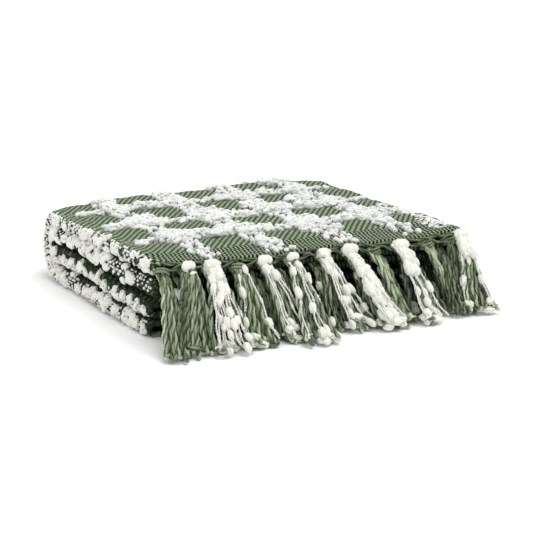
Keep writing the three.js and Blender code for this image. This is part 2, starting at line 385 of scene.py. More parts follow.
class Mesher:
    """Joins shapes into one mesh object, pressed flat where it meets the floor."""

    def __init__(self) -> None:
        """Starts with no shapes."""
        self.shapes: list[Shape] = []

    def add(self, shape: Shape) -> None:
        """Adds a shape, unless it is empty."""
        if len(shape.points):
            self.shapes.append(shape)

    def build(self, name: str, finish: Material) -> Object:
        """Makes the joined mesh and dresses it.

        Args:
            name: Name of the piece.
            finish: Its material.

        Returns:
            The new object, at the origin.
        """
        corners, sizes, offset = [], [], 0
        for shape in self.shapes:
            for faces in shape.faces:
                corners.append((faces + offset).ravel())
                sizes.append(np.full(len(faces), faces.shape[1]))
            offset += len(shape.points)
        corners, sizes = np.concatenate(corners), np.concatenate(sizes)
        starts = np.concatenate([[0], np.cumsum(sizes)[:-1]])
        points = np.concatenate([shape.points for shape in self.shapes])
        points[:, 2] = np.maximum(points[:, 2], 0)
        tone = np.concatenate([shape.tone for shape in self.shapes])
        mesh = bpy.data.meshes.new(name)
        mesh.vertices.add(len(points))
        mesh.vertices.foreach_set("co", points.astype(np.float32).ravel())
        mesh.loops.add(len(corners))
        mesh.loops.foreach_set("vertex_index", corners.astype(np.int32))
        mesh.polygons.add(len(sizes))
        mesh.polygons.foreach_set("loop_start", starts.astype(np.int32))
        mesh.polygons.foreach_set("loop_total", sizes.astype(np.int32))
        mesh.polygons.foreach_set("use_smooth", np.ones(len(sizes), bool))
        if self.shapes[0].uv is not None:
            uv = np.concatenate([part.reshape(-1, 2) for shape in self.shapes for part in shape.uv])
            mesh.uv_layers.new(name=CLOTH_MAP).data.foreach_set("uv", uv.astype(np.float32).ravel())
        attribute = mesh.attributes.new(TONE, "FLOAT", "POINT")
        attribute.data.foreach_set("value", tone.astype(np.float32))
        mesh.materials.append(finish)
        mesh.update(calc_edges=True)
        obj = bpy.data.objects.new(name, mesh)
        bpy.context.scene.collection.objects.link(obj)
        return obj


@dataclass(kw_only=True)
class PieceMaker:
    """Makes finished pieces and remembers them."""

    pieces: list[Object] = field(default_factory=list)

    def keep(self, mesher: Mesher, name: str, finish: Material) -> Object:
        """Makes a piece of what a mesher holds."""
        piece = mesher.build(name, finish)
        self.pieces.append(piece)
        return piece


@dataclass(frozen=True)
class Yarn:
    """Section and twist of a yarn."""

    sides: int
    ply_depth: float
    twist_length: float


def lengths_along(paths: Array) -> Array:
    """Length passed at each point of each path."""
    steps = np.linalg.norm(np.diff(paths, axis=1), axis=-1)
    return np.concatenate([np.zeros((len(paths), 1)), np.cumsum(steps, axis=1)], axis=1)


def along_spline(controls: Array, count: int) -> Array:
    """Samples smooth curves through control points, evenly along each.

    Args:
        controls: Control points, as curves by points by three.
        count: Samples for each curve.

    Returns:
        Points, as curves by samples by three.
    """
    padded = np.concatenate([
        2 * controls[:, :1] - controls[:, 1:2], controls, 2 * controls[:, -1:] - controls[:, -2:-1],
    ], axis=1)
    fine = []
    for k in range(controls.shape[1] - 1):
        a, b, c, d = (padded[:, k + i, None] for i in range(4))
        t = np.linspace(0, 1, SPLINE_SAMPLES, endpoint=k == controls.shape[1] - 2)[None, :, None]
        fine.append(0.5 * (2 * b + (c - a) * t + (2 * a - 5 * b + 4 * c - d) * t ** 2
                           + (3 * b - a - 3 * c + d) * t ** 3))
    dense = np.concatenate(fine, axis=1)
    out = np.empty((len(dense), count, 3))
    for i, course in enumerate(lengths_along(dense)):
        at = np.linspace(0, course[-1], count)
        for axis in range(3):
            out[i, :, axis] = np.interp(at, course, dense[i, :, axis])
    return out


def frames_along(paths: Array) -> tuple[Array, Array, Array]:
    """Tangents and two side directions that turn as little as they can.

    Args:
        paths: Points, as paths by points by three.

    Returns:
        Tangents, first sides and second sides.
    """
    tangents = unit(np.gradient(paths, axis=1))
    first = tangents[:, 0]
    guide = np.where(np.abs(first[:, :1]) > STEEP_TANGENT, [[0.0, 0.0, 1.0]], [[1.0, 0.0, 0.0]])
    side = unit(guide - first * (guide * first).sum(-1, keepdims=True))
    sides = [side]
    for k in range(1, paths.shape[1]):
        tangent = tangents[:, k]
        side = unit(side - tangent * (side * tangent).sum(-1, keepdims=True))
        sides.append(side)
    normals = np.stack(sides, axis=1)
    return tangents, normals, np.cross(tangents, normals)


def yarn_shape(paths: Array, radii: Array, yarn: Yarn, tones: Array) -> Shape:
    """Wraps a twisted, closed tube round each path.

    Args:
        paths: Points, as yarns by points by three.
        radii: Radius at each point.
        yarn: Section and twist.
        tones: Tone of each yarn.

    Returns:
        One shape that holds all the yarns.
    """
    count, steps = paths.shape[:2]
    tangents, normals, others = frames_along(paths)
    passed = lengths_along(paths)
    around = math.tau * np.arange(yarn.sides) / yarn.sides
    lobes = 1 + yarn.ply_depth * np.cos(2 * around)
    turn = math.tau * passed / yarn.twist_length + TONE_TWIST * tones[:, None]
    angles = around[None, None, :] + turn[..., None]
    reach = radii[..., None] * lobes
    rings = (paths[:, :, None]
             + (reach * np.cos(angles))[..., None] * normals[:, :, None]
             + (reach * np.sin(angles))[..., None] * others[:, :, None])
    first = paths[:, 0] - tangents[:, 0] * radii[:, :1] * CAP_REACH
    last = paths[:, -1] + tangents[:, -1] * radii[:, -1:] * CAP_REACH
    points = np.concatenate([rings.reshape(count, -1, 3), first[:, None], last[:, None]], axis=1)
    ring = np.arange(yarn.sides)
    following = (ring + 1) % yarn.sides
    base = np.arange(steps - 1)[:, None] * yarn.sides
    walls = np.stack([base + ring, base + following, base + following + yarn.sides,
                      base + ring + yarn.sides], -1).reshape(-1, 4)
    end_ring = (steps - 1) * yarn.sides
    tip = np.full_like(ring, steps * yarn.sides)
    caps = np.concatenate([
        np.stack([following, ring, tip], -1),
        np.stack([end_ring + ring, end_ring + following, tip + 1], -1),
    ])
    offsets = np.arange(count)[:, None, None] * (steps * yarn.sides + 2)
    low = np.broadcast_to(passed[:, :-1, None], (count, steps - 1, yarn.sides))
    high = np.broadcast_to(passed[:, 1:, None], low.shape)
    left = np.broadcast_to(ring / yarn.sides, low.shape)
    right = left + 1 / yarn.sides
    uv = np.stack([np.stack([left, right, right, left], -1), np.stack([low, low, high, high], -1)], -1)
    walls = (walls[None] + offsets).reshape(-1, 4)
    caps = (caps[None] + offsets).reshape(-1, 3)
    tone = np.repeat(tones, steps * yarn.sides + 2)
    cap_uv = np.zeros((len(caps), 3, 2))
    return Shape(points.reshape(-1, 3), [walls, caps], tone, [uv.reshape(-1, 4, 2), cap_uv])


# Slubs


class SlubForm(Enum):
    """Forms of the raised chenille."""

    OVAL = "oval"
    BEAN = "bean"
    BURR = "burr"
    PUFF = "puff"


class Run(Enum):
    """Way that a slub lies in the weave."""

    WEFT = "weft"
    WARP = "warp"


@dataclass(frozen=True)
class SlubModel:
    """How one form of slub is shaped."""

    roughness: float
    seed: int
    waist: float
    fuzz: float = 0.0


SLUB_MODELS = {
    SlubForm.OVAL: SlubModel(0.04, 3, 0.02),
    SlubForm.BEAN: SlubModel(0.06, 11, 0.16),
    SlubForm.BURR: SlubModel(0.12, 23, 0.08),
    SlubForm.PUFF: SlubModel(0.11, 31, 0.06, fuzz=0.045),
}


def model_slub(model: SlubModel) -> tuple[Array, list[Array]]:
    """Models one slub, about 1 across, with its long side along X.

    Args:
        model: How it is shaped.

    Returns:
        Its points and faces.
    """
    deselect_all()
    bpy.ops.mesh.primitive_ico_sphere_add(subdivisions=2, radius=0.5)
    slub = bpy.context.object
    bpy.ops.object.mode_set(mode="EDIT")
    bpy.ops.mesh.select_all(action="SELECT")
    bpy.ops.transform.vertex_random(offset=model.roughness, normal=0.7, seed=model.seed)
    if model.fuzz:
        bpy.ops.mesh.subdivide(number_cuts=1, smoothness=0.8)
        bpy.ops.transform.vertex_random(offset=model.fuzz, normal=0.8, seed=model.seed + 1)
    bpy.ops.mesh.select_all(action="DESELECT")
    bpy.ops.object.mode_set(mode="OBJECT")
    for vertex in slub.data.vertices:
        vertex.select = abs(vertex.co.x) < WAIST_REACH
    bpy.ops.object.mode_set(mode="EDIT")
    bpy.ops.transform.resize(value=(1, 1 - model.waist, 1 - model.waist))
    bpy.ops.object.mode_set(mode="OBJECT")
    mesh = slub.data
    points = np.empty(len(mesh.vertices) * 3)
    mesh.vertices.foreach_get("co", points)
    faces = np.array([list(polygon.vertices) for polygon in mesh.polygons])
    bpy.data.objects.remove(slub)
    bpy.data.meshes.remove(mesh)
    return points.reshape(-1, 3), faces


@dataclass
class Spots:
    """Places, directions and sizes of many slubs."""

    centre: Array
    along: Array
    out: Array
    size: Array
    tone: Array
    spin: Array

    def chosen(self, which: Array) -> "Spots":
        """Keeps some of the spots."""
        return Spots(*(values[which] for values in vars(self).values()))


SMALL_FORMS = (SlubForm.OVAL, SlubForm.BEAN)
KNOB_FORMS = (SlubForm.OVAL, SlubForm.BEAN, SlubForm.BURR)
PUFF_FORMS = (SlubForm.PUFF,)


@dataclass(frozen=True)
class SlubKind:
    """Least and greatest sizes of a kind of slub, its forms, and how it sits on a face.

    lift is the height of its middle above the face, and stand is the share of its own height that
    is added to it. stray is how far it turns from its run, in radians.
    """

    length: Pair
    width: Pair
    height: Pair
    forms: tuple[SlubForm, ...] = SMALL_FORMS
    lift: float = 0.0
    stand: float = 0.0
    stray: float = 0.0

    def draw(self, count: int, rng: Rng) -> Array:
        """Draws sizes for a number of slubs."""
        ranges = (self.length, self.width, self.height)
        return np.stack([rng.uniform(low, high, count) for low, high in ranges], -1)


class SlubKit:
    """Models each form of slub once, and copies it to many spots as one shape."""

    def __init__(self) -> None:
        """Models each form."""
        self.models = {form: model_slub(model) for form, model in SLUB_MODELS.items()}

    def copy(self, form: SlubForm, spots: Spots) -> Shape:
        """Copies one form to every spot.

        Args:
            form: The form.
            spots: Where the copies go.

        Returns:
            All the copies as one shape.
        """
        points, faces = self.models[form]
        spin_cos, spin_sin = np.cos(spots.spin)[:, None], np.sin(spots.spin)[:, None]
        local_x = np.broadcast_to(points[:, 0], (len(spots.spin), len(points)))
        local_y = points[:, 1] * spin_cos - points[:, 2] * spin_sin
        local_z = points[:, 1] * spin_sin + points[:, 2] * spin_cos
        side = np.cross(spots.out, spots.along)
        moved = (spots.centre[:, None]
                 + (local_x * spots.size[:, :1])[..., None] * spots.along[:, None]
                 + (local_y * spots.size[:, 1:2])[..., None] * side[:, None]
                 + (local_z * spots.size[:, 2:])[..., None] * spots.out[:, None])
        offsets = np.arange(len(spots.centre))[:, None, None] * len(points)
        copies = (faces[None] + offsets).reshape(-1, faces.shape[1])
        return Shape(moved.reshape(-1, 3), [copies], np.repeat(spots.tone, len(points)))

    def scatter(self, mesher: Mesher, spots: Spots, forms: tuple[SlubForm, ...], rng: Rng) -> None:
        """Shares the spots out among several forms.

        Args:
            mesher: Where the copies go.
            spots: Where the slubs lie.
            forms: Forms to choose from.
            rng: Random numbers.
        """
        choice = rng.integers(0, len(forms), len(spots.centre))
        for index, form in enumerate(forms):
            mesher.add(self.copy(form, spots.chosen(choice == index)))


# Faces of the folded cloth


@dataclass(frozen=True)
class Face:
    """A face of the folded cloth, on which spots are found by their place in the weave."""

    stack: FoldedStack
    rise: float
    step: float = 0.0005

    @property
    def hand(self) -> int:
        """Sign that turns across-by-along into outwards."""
        return 1

    def at(self, across: Array, course: Array, lift: Array | float) -> Array:
        """Points above the face.

        Args:
            across: Place across the cloth.
            course: Length along the strip.
            lift: Height above the face.

        Returns:
            The points.
        """
        place = self.stack.place_at(course, across)
        level = self.stack.ply_level(place, across, OUTER_PLY)
        return self.stack.point(place, across, level + self.rise + lift)

    def lay(self, across: Array, course: Array, lift: Array | float, size: Array,
            run: Run, yaw: float, rng: Rng) -> Spots:
        """Lays slubs on the face.

        Args:
            across: Place across the cloth.
            course: Length along the strip.
            lift: Height of the slubs' middles above the face.
            size: Length, width and height of each.
            run: Way that they lie.
            yaw: How far they stray from that way, in radians.
            rng: Random numbers.

        Returns:
            The spots.
        """
        over = unit(self.at(across + self.step, course, lift) - self.at(across - self.step, course, lift))
        ahead, behind = course + COURSE_STEP, course - COURSE_STEP
        forth = unit(self.at(across, ahead, lift) - self.at(across, behind, lift))
        out = unit(np.cross(over, forth)) * self.hand
        stray = rng.normal(0, yaw, len(across))[:, None]
        first, second = (over, forth) if run is Run.WEFT else (forth, over)
        way = unit(first * np.cos(stray) + second * np.sin(stray))
        tone, spin = rng.random(len(across)), rng.uniform(0, math.tau, len(across))
        return Spots(self.at(across, course, lift), way, out, size, tone, spin)


@dataclass(frozen=True)
class FoldFace(Face):
    """Outer side of a fold, on which across is the angle round it."""

    step: float = 0.03
    fold: Fold = FoldedStack.outer_left

    @property
    def hand(self) -> int:
        """Left folds run the other way about."""
        return self.fold.side

    def at(self, across: Array, course: Array, lift: Array | float) -> Array:
        """Points beyond the fold's arc."""
        edge_x = np.full_like(course, self.fold.side * self.fold.reach.upper)
        place = self.stack.place_at(course, edge_x)
        centre_x, centre_level, radius = self.stack.fold_centre(place, self.fold)
        reach = radius + self.rise + lift
        x = centre_x + self.fold.side * reach * np.sin(across)
        return self.stack.point(place, x, centre_level + reach * np.cos(across))


def jittered_rows(rows: Array, start: float, end: float, pitch: float, stray: float,
                  rng: Rng) -> tuple[Array, Array]:
    """Spreads spots along rows, unevenly.

    Args:
        rows: Place of each row.
        start: Where the rows start.
        end: Where they end.
        pitch: Usual distance between spots.
        stray: How far a spot strays from its place.
        rng: Random numbers.

    Returns:
        Place along the row and across the rows, for each spot.
    """
    count = max(int(round((end - start) / pitch)), 1)
    along = start + (np.arange(count)[None, :] + 0.5 + 0.5 * (np.arange(len(rows))[:, None] % 2)) * pitch
    across = np.broadcast_to(rows[:, None], along.shape)
    along = along + rng.normal(0, stray, along.shape)
    across = across + rng.normal(0, stray * ROW_STRAY, along.shape)
    inside = (along > start) & (along < end)
    return along[inside], across[inside]


# Finishes


class Wire:
    """A socket that takes part in Python arithmetic, each step of which adds a Math node."""

    def __init__(self, desk: "Desk", socket: NodeSocket) -> None:
        """Wraps an output socket of a desk's tree."""
        self.desk = desk
        self.socket = socket

    def math(self, operation: str, *others: "Wire | float") -> "Wire":
        """Adds a Math node with this wire first."""
        inputs = dict(enumerate([self, *others]))
        return self.desk.node("ShaderNodeMath", {"operation": operation}, inputs)

    def reversed_math(self, operation: str, other: float) -> "Wire":
        """Adds a Math node with a number first and this wire second."""
        return self.desk.node("ShaderNodeMath", {"operation": operation}, {0: other, 1: self})

    __add__ = partialmethod(math, "ADD")
    __radd__ = partialmethod(reversed_math, "ADD")
    __sub__ = partialmethod(math, "SUBTRACT")
    __rsub__ = partialmethod(reversed_math, "SUBTRACT")
    __mul__ = partialmethod(math, "MULTIPLY")
    __rmul__ = partialmethod(reversed_math, "MULTIPLY")
    __truediv__ = partialmethod(math, "DIVIDE")
    __mod__ = partialmethod(math, "FLOORED_MODULO")
    __lt__ = partialmethod(math, "LESS_THAN")
    __gt__ = partialmethod(math, "GREATER_THAN")
    floor = partialmethod(math, "FLOOR")
    fraction = partialmethod(math, "FRACT")
    sine = partialmethod(math, "SINE")
    cosine = partialmethod(math, "COSINE")
    __abs__ = partialmethod(math, "ABSOLUTE")

    def clamp(self) -> "Wire":
        """Keeps within 0 and 1."""
        return self.math("MAXIMUM", 0.0).math("MINIMUM", 1.0)

    def ramp(self, start: float, end: float) -> "Wire":
        """Rises softly from 0 at start to 1 at end, or falls where start is the greater."""
        if start > end:
            return 1.0 - self.ramp(end, start)
        inputs = {"Value": self, "From Min": start, "From Max": end}
        return self.desk.node("ShaderNodeMapRange", {"interpolation_type": "SMOOTHSTEP"}, inputs)


class Desk:
    """Lays out the nodes of one material."""

    SPECULAR = 0.06
    SHEEN_ROUGHNESS = 0.6

    def __init__(self, name: str) -> None:
        """Starts a material with one plain shader."""
        self.material = bpy.data.materials.new(name)
        self.material.use_nodes = True
        self.tree = self.material.node_tree
        self.shader = self.tree.nodes["Principled BSDF"]

    def node(self, kind: str, settings: dict | None = None, inputs: dict | None = None,
             output: int | str = 0) -> Wire:
        """Adds a node.

        Args:
            kind: The node's type.
            settings: Properties, set first.
            inputs: Values or wires by input name or number.
            output: The output to hand back.

        Returns:
            The output as a wire.
        """
        made = self.tree.nodes.new(kind)
        for name, value in (settings or {}).items():
            setattr(made, name, value)
        for key, value in (inputs or {}).items():
            self.feed(made.inputs[key], value)
        return Wire(self, made.outputs[output])

    def feed(self, socket: NodeSocket, value: "Wire | float | tuple") -> None:
        """Sets a socket to a value, or links a wire to it."""
        if isinstance(value, Wire):
            self.tree.links.new(value.socket, socket)
        else:
            socket.default_value = value

    def blend(self, share: Wire | float, low: "Wire | tuple", high: "Wire | tuple") -> Wire:
        """Mixes two colours."""
        return self.node("ShaderNodeMix", {"data_type": "RGBA"}, {0: share, 6: low, 7: high}, 2)

    def tint(self, colour: Wire, strength: Wire) -> Wire:
        """Makes a colour lighter or darker by a strength around 1."""
        return self.node("ShaderNodeVectorMath", {"operation": "SCALE"}, {0: colour, 3: strength})

    def attribute(self, name: str) -> Wire:
        """Reads one number of the piece's own attribute."""
        return self.node("ShaderNodeAttribute", {"attribute_name": name}, output="Fac")

    def cloth_map(self) -> tuple[Wire, Wire]:
        """Both coordinates of the piece's own map."""
        place = self.node("ShaderNodeUVMap", {"uv_map": CLOTH_MAP})
        split = self.tree.nodes.new("ShaderNodeSeparateXYZ")
        self.tree.links.new(place.socket, split.inputs[0])
        return Wire(self, split.outputs[0]), Wire(self, split.outputs[1])

    def place(self) -> Wire:
        """Coordinates of the object itself."""
        return self.node("ShaderNodeTexCoord", output="Object")

    def noise(self, at: Wire, scale: float, detail: float = 2.0, roughness: float = 0.5) -> Wire:
        """Soft noise from about 0 to 1."""
        inputs = {"Vector": at, "Scale": scale, "Detail": detail, "Roughness": roughness}
        return self.node("ShaderNodeTexNoise", {"noise_dimensions": "3D"}, inputs)

    def thread_noise(self, at: Wire, seed: float) -> Wire:
        """A number from 0 to 1 for each whole value."""
        return self.node("ShaderNodeTexWhiteNoise", {"noise_dimensions": "1D"}, {"W": at + seed})

    def pair(self, first: Wire, second: Wire) -> Wire:
        """Makes coordinates of two numbers."""
        return self.node("ShaderNodeCombineXYZ", None, {0: first, 1: second})

    def finish(self, colour: Wire, roughness: float, height: Wire | None, depth: float,
               sheen: float = 0.0) -> Material:
        """Connects the finished colour and relief.

        Args:
            colour: Base colour.
            roughness: Roughness all over.
            height: Relief from 0 to 1, or None.
            depth: How deep the relief is.
            sheen: Weight of the soft sheen.

        Returns:
            The material.
        """
        inputs = {"Base Color": colour, "Roughness": roughness, "Specular IOR Level": self.SPECULAR,
                  "Sheen Weight": sheen, "Sheen Roughness": self.SHEEN_ROUGHNESS}
        if height is not None:
            relief = {"Height": height, "Strength": 1.0, "Distance": depth}
            inputs["Normal"] = self.node("ShaderNodeBump", None, relief)
        for name, value in inputs.items():
            self.feed(self.shader.inputs[name], value)
        return self.material


@dataclass(frozen=True)
class WovenCheckFinish:
    """Twill of green threads with white bands both ways and a pitted heading at the fringe, with painted
    shade in its rib furrows, thread gaps, pits and band holes, and on its folds, crease and hidden plies.
    """

    check: Check
    warp_pitch: float = 0.00168
    weft_pitch: float = 0.00220
    repeat: int = 4
    plain_from: float = -0.106
    band_overrun: float = 0.008
    ragged_scale: float = 160.0
    ragged_edge: float = 0.006
    dot_across: float = 0.0021
    dot_along: float = 0.0082
    dot_ramp: Pair = (-0.20, 0.12)
    heading_cover: float = 0.6
    rib_stray: float = 0.75
    rib_shift: float = 1.35
    # Ramps and shares of the painted shade in the furrows, the thread gaps, the band holes and on the folds.
    furrow_ramp: Pair = (0.45, 0.02)
    gap_ramp: Pair = (0.60, 0.05)
    heading_gaps: float = 0.6
    hole_scale: float = 420.0
    hole_ramp: Pair = (0.60, 0.66)
    hole_share: float = 0.9
    shade_patch_scale: float = 230.0
    shade_patch_ramp: Pair = (0.40, 0.52)
    painted_shade_shares: Pair = (0.62, 0.34)
    cloud_scale: float = 26.0
    fuzz_scale: float = 900.0
    warp_green: tuple = linear(164, 178, 152)
    weft_green: tuple = linear(105, 119, 94)
    # Painted shade colours: the furrow green in the rib furrows and thread gaps, and the near-black in the
    # pits and band holes.
    painted_furrow_shade: tuple = linear(66, 80, 56)
    painted_gap_shade: tuple = linear(24, 33, 17)
    warp_white: tuple = linear(216, 216, 212)
    weft_white: tuple = linear(204, 204, 198)
    # Painted shade on the sides of the folds, on the crease and on the hidden plies.
    painted_shade_green: tuple = linear(36, 47, 29)
    roughness: float = 0.95
    relief: float = 0.0016

    def white_bands(self, desk: Desk, u: Wire, v: Wire, fold: Wire) -> tuple[Wire, Wire]:
        """Finds the white bands, whose edges follow the threads.

        Args:
            desk: Where the nodes go.
            u: Place across the warp threads.
            v: Place along them.
            fold: How much painted shade a point gets; where it is over half, the white warp bands are left
                out.

        Returns:
            1 within the warp bands and 1 within the weft bands.
        """
        check = self.check
        ragged = (desk.noise(desk.pair(u, v), self.ragged_scale, 1.0) - 0.5) * self.ragged_edge
        warp_u = ((u / self.warp_pitch).floor() + 0.5) * self.warp_pitch + ragged
        weft_v = ((v / self.weft_pitch).floor() + 0.5) * self.weft_pitch + ragged
        in_warp = check.near(warp_u, check.warp_at, check.warp_repeat) < check.half_band
        in_selvedge = (warp_u < check.selvedge_from) * (v < check.selvedge_to)
        has_warp = (v > self.plain_from - self.band_overrun) * (fold < 0.5)
        in_warp = in_warp.math("MAXIMUM", in_selvedge) * has_warp
        in_weft = check.near(weft_v, check.weft_at, check.weft_repeat) < check.half_band
        return in_warp, in_weft * (v > check.weft_from) * (v < check.weft_to)

    def build(self) -> Material:
        """Makes the material."""
        desk = Desk("woven_check")
        u, v = desk.cloth_map()
        place = desk.pair(u, v)
        # fold reads the shade attribute: painted shade on the folds, the crease and the hidden plies.
        fold = desk.attribute(SHADE)
        in_warp, in_weft = self.white_bands(desk, u, v, fold)
        warp, weft = u / self.warp_pitch, v / self.weft_pitch
        warp_number, weft_number = warp.floor(), weft.floor()
        warp_noise = desk.thread_noise(warp_number, 0.3)
        weft_noise = desk.thread_noise(weft_number, 7.7)
        twill = ((warp_number + weft_number) % self.repeat) < self.repeat / 2
        dots = (u * (math.pi / self.dot_across)).sine() * (v * (math.pi / self.dot_along)).sine()
        is_heading = v < self.plain_from
        is_twill = 1.0 - is_heading
        warp_over = twill + (self.heading_cover - twill) * is_heading
        warp_round = (warp.fraction() * math.pi).sine()
        weft_round = (weft.fraction() * math.pi).sine()
        thread = weft_round + (warp_round - weft_round) * warp_over
        warp_colour = desk.blend(in_warp, self.warp_green, self.warp_white)
        weft_colour = desk.blend(in_weft, self.weft_green, self.weft_white)
        over_colour = desk.blend(warp_over, weft_colour, warp_colour)
        uneven = (warp_noise + weft_noise) * self.rib_stray - self.rib_shift
        ribs = ((warp + weft) * (math.tau / self.repeat) + uneven).sine() * 0.5 + 0.5
        # Painted shade in the rib furrows and in the gaps between threads, with less of it in the heading.
        shaded_furrow = ribs.ramp(*self.furrow_ramp) * is_twill
        shaded_gaps = thread.ramp(*self.gap_ramp) * (1.0 - self.heading_gaps * is_heading)
        colour = desk.blend(shaded_gaps.math("MAXIMUM", shaded_furrow), over_colour, self.painted_furrow_shade)
        # Painted shade in the pits of the heading's plain weave, which are also sunk in the relief.
        shaded_pits = is_heading * dots.ramp(*self.dot_ramp)
        colour = desk.blend(shaded_pits, colour, self.painted_gap_shade)
        # Painted shade in noisy holes of the white bands.
        shaded_holes = desk.noise(place, self.hole_scale, 0.0).ramp(*self.hole_ramp)
        shaded_holes = shaded_holes * in_warp.math("MAXIMUM", in_weft)
        colour = desk.blend(shaded_holes * self.hole_share, colour, self.painted_gap_shade)
        # Painted shade on the folds, the crease and the hidden plies, heavier in noisy patches.
        shade_patches = desk.noise(place, self.shade_patch_scale, 1.0).ramp(*self.shade_patch_ramp)
        shaded, holed = self.painted_shade_shares
        colour = desk.blend((fold * (shaded + holed * shade_patches)).clamp(), colour, self.painted_shade_green)
        cloudy = desk.noise(place, self.cloud_scale, 2.0)
        strength = 0.80 + 0.20 * is_heading + 0.16 * warp_noise + 0.14 * weft_noise + 0.10 * cloudy
        height = thread * 0.45 + warp_over * 0.15 + ribs * 0.40 * is_twill - shaded_pits * 0.7
        height = height + 0.25 * (desk.noise(place, self.fuzz_scale, 1.0) - 0.5)
        return desk.finish(desk.tint(colour, strength), self.roughness, height, self.relief)


@dataclass(frozen=True)
class ChenilleFinish:
    """Soft off-white chenille whose tone differs a little from lump to lump, with painted shade where the
    green backing shows in the gaps between its pile.
    """

    name: str
    light: tuple
    dull: tuple
    # Share of painted-shade specks, where the green backing shows in shade between the pile.
    shade_specks: float = 0.0
    painted_backing_shade: tuple = linear(52, 63, 42)
    shade_speck_scale: float = 330.0
    shade_speck_ramp: Pair = (0.64, 0.70)
    soft_scale: float = 210.0
    pile_scale: float = 430.0
    roughness: float = 0.95
    sheen: float = 0.15
    relief: float = 0.0015

    def build(self) -> Material:
        """Makes the material."""
        desk = Desk(self.name)
        at = desk.place()
        soft = desk.noise(at, self.soft_scale)
        share = 0.55 * desk.attribute(TONE) + 0.6 * soft - 0.05
        colour = desk.blend(share.clamp(), self.light, self.dull)
        pile = desk.noise(at, self.pile_scale, roughness=0.6)
        # Painted shade in specks between the pile, which are also sunk in the relief.
        if self.shade_specks:
            shaded_gaps = desk.noise(at, self.shade_speck_scale, 1.0).ramp(*self.shade_speck_ramp)
            colour = desk.blend(shaded_gaps * self.shade_specks, colour, self.painted_backing_shade)
            pile = pile - shaded_gaps * 0.5
        return desk.finish(colour, self.roughness, pile * 0.6 + soft * 0.6, self.relief, self.sheen)


@dataclass(frozen=True)
class TwistedYarnFinish:
    """Two-ply twisted yarn whose tone changes from strand to strand, with painted shade in the groove between
    its plies.
    """

    name: str
    light: tuple
    mid: tuple
    # painted_groove_shade is painted shade, laid in the groove between the plies.
    painted_groove_shade: tuple
    groove_shade_share: float = 0.80
    groove_ramp: Pair = (0.38, 0.95)
    twist_length: float = 0.032
    fibres_each: float = 5.0
    blotch_scale: float = 190.0
    roughness: float = 0.85
    sheen: float = 0.10
    relief: float = 0.0005

    def build(self) -> Material:
        """Makes the material."""
        desk = Desk(self.name)
        around, along = desk.cloth_map()
        both_plies = around * (2 * math.tau)
        crest = both_plies.cosine() * 0.5 + 0.5
        slant = along * (math.tau / self.twist_length) * self.fibres_each
        fibres = (slant + around * (self.fibres_each * math.tau)).sine()
        blotch = desk.noise(desk.place(), self.blotch_scale)
        share = desk.attribute(TONE) * 0.75 + blotch * 0.5 - 0.12
        base = desk.blend(share.clamp(), self.mid, self.light)
        # Painted shade in the groove between the plies.
        colour = desk.blend((1.0 - crest).ramp(*self.groove_ramp) * self.groove_shade_share, base, self.painted_groove_shade)
        height = crest * 0.6 + fibres * 0.12 + both_plies.sine() * 0.05 + blotch * 0.2
        return desk.finish(colour, self.roughness, height, self.relief, self.sheen)


# Cloth


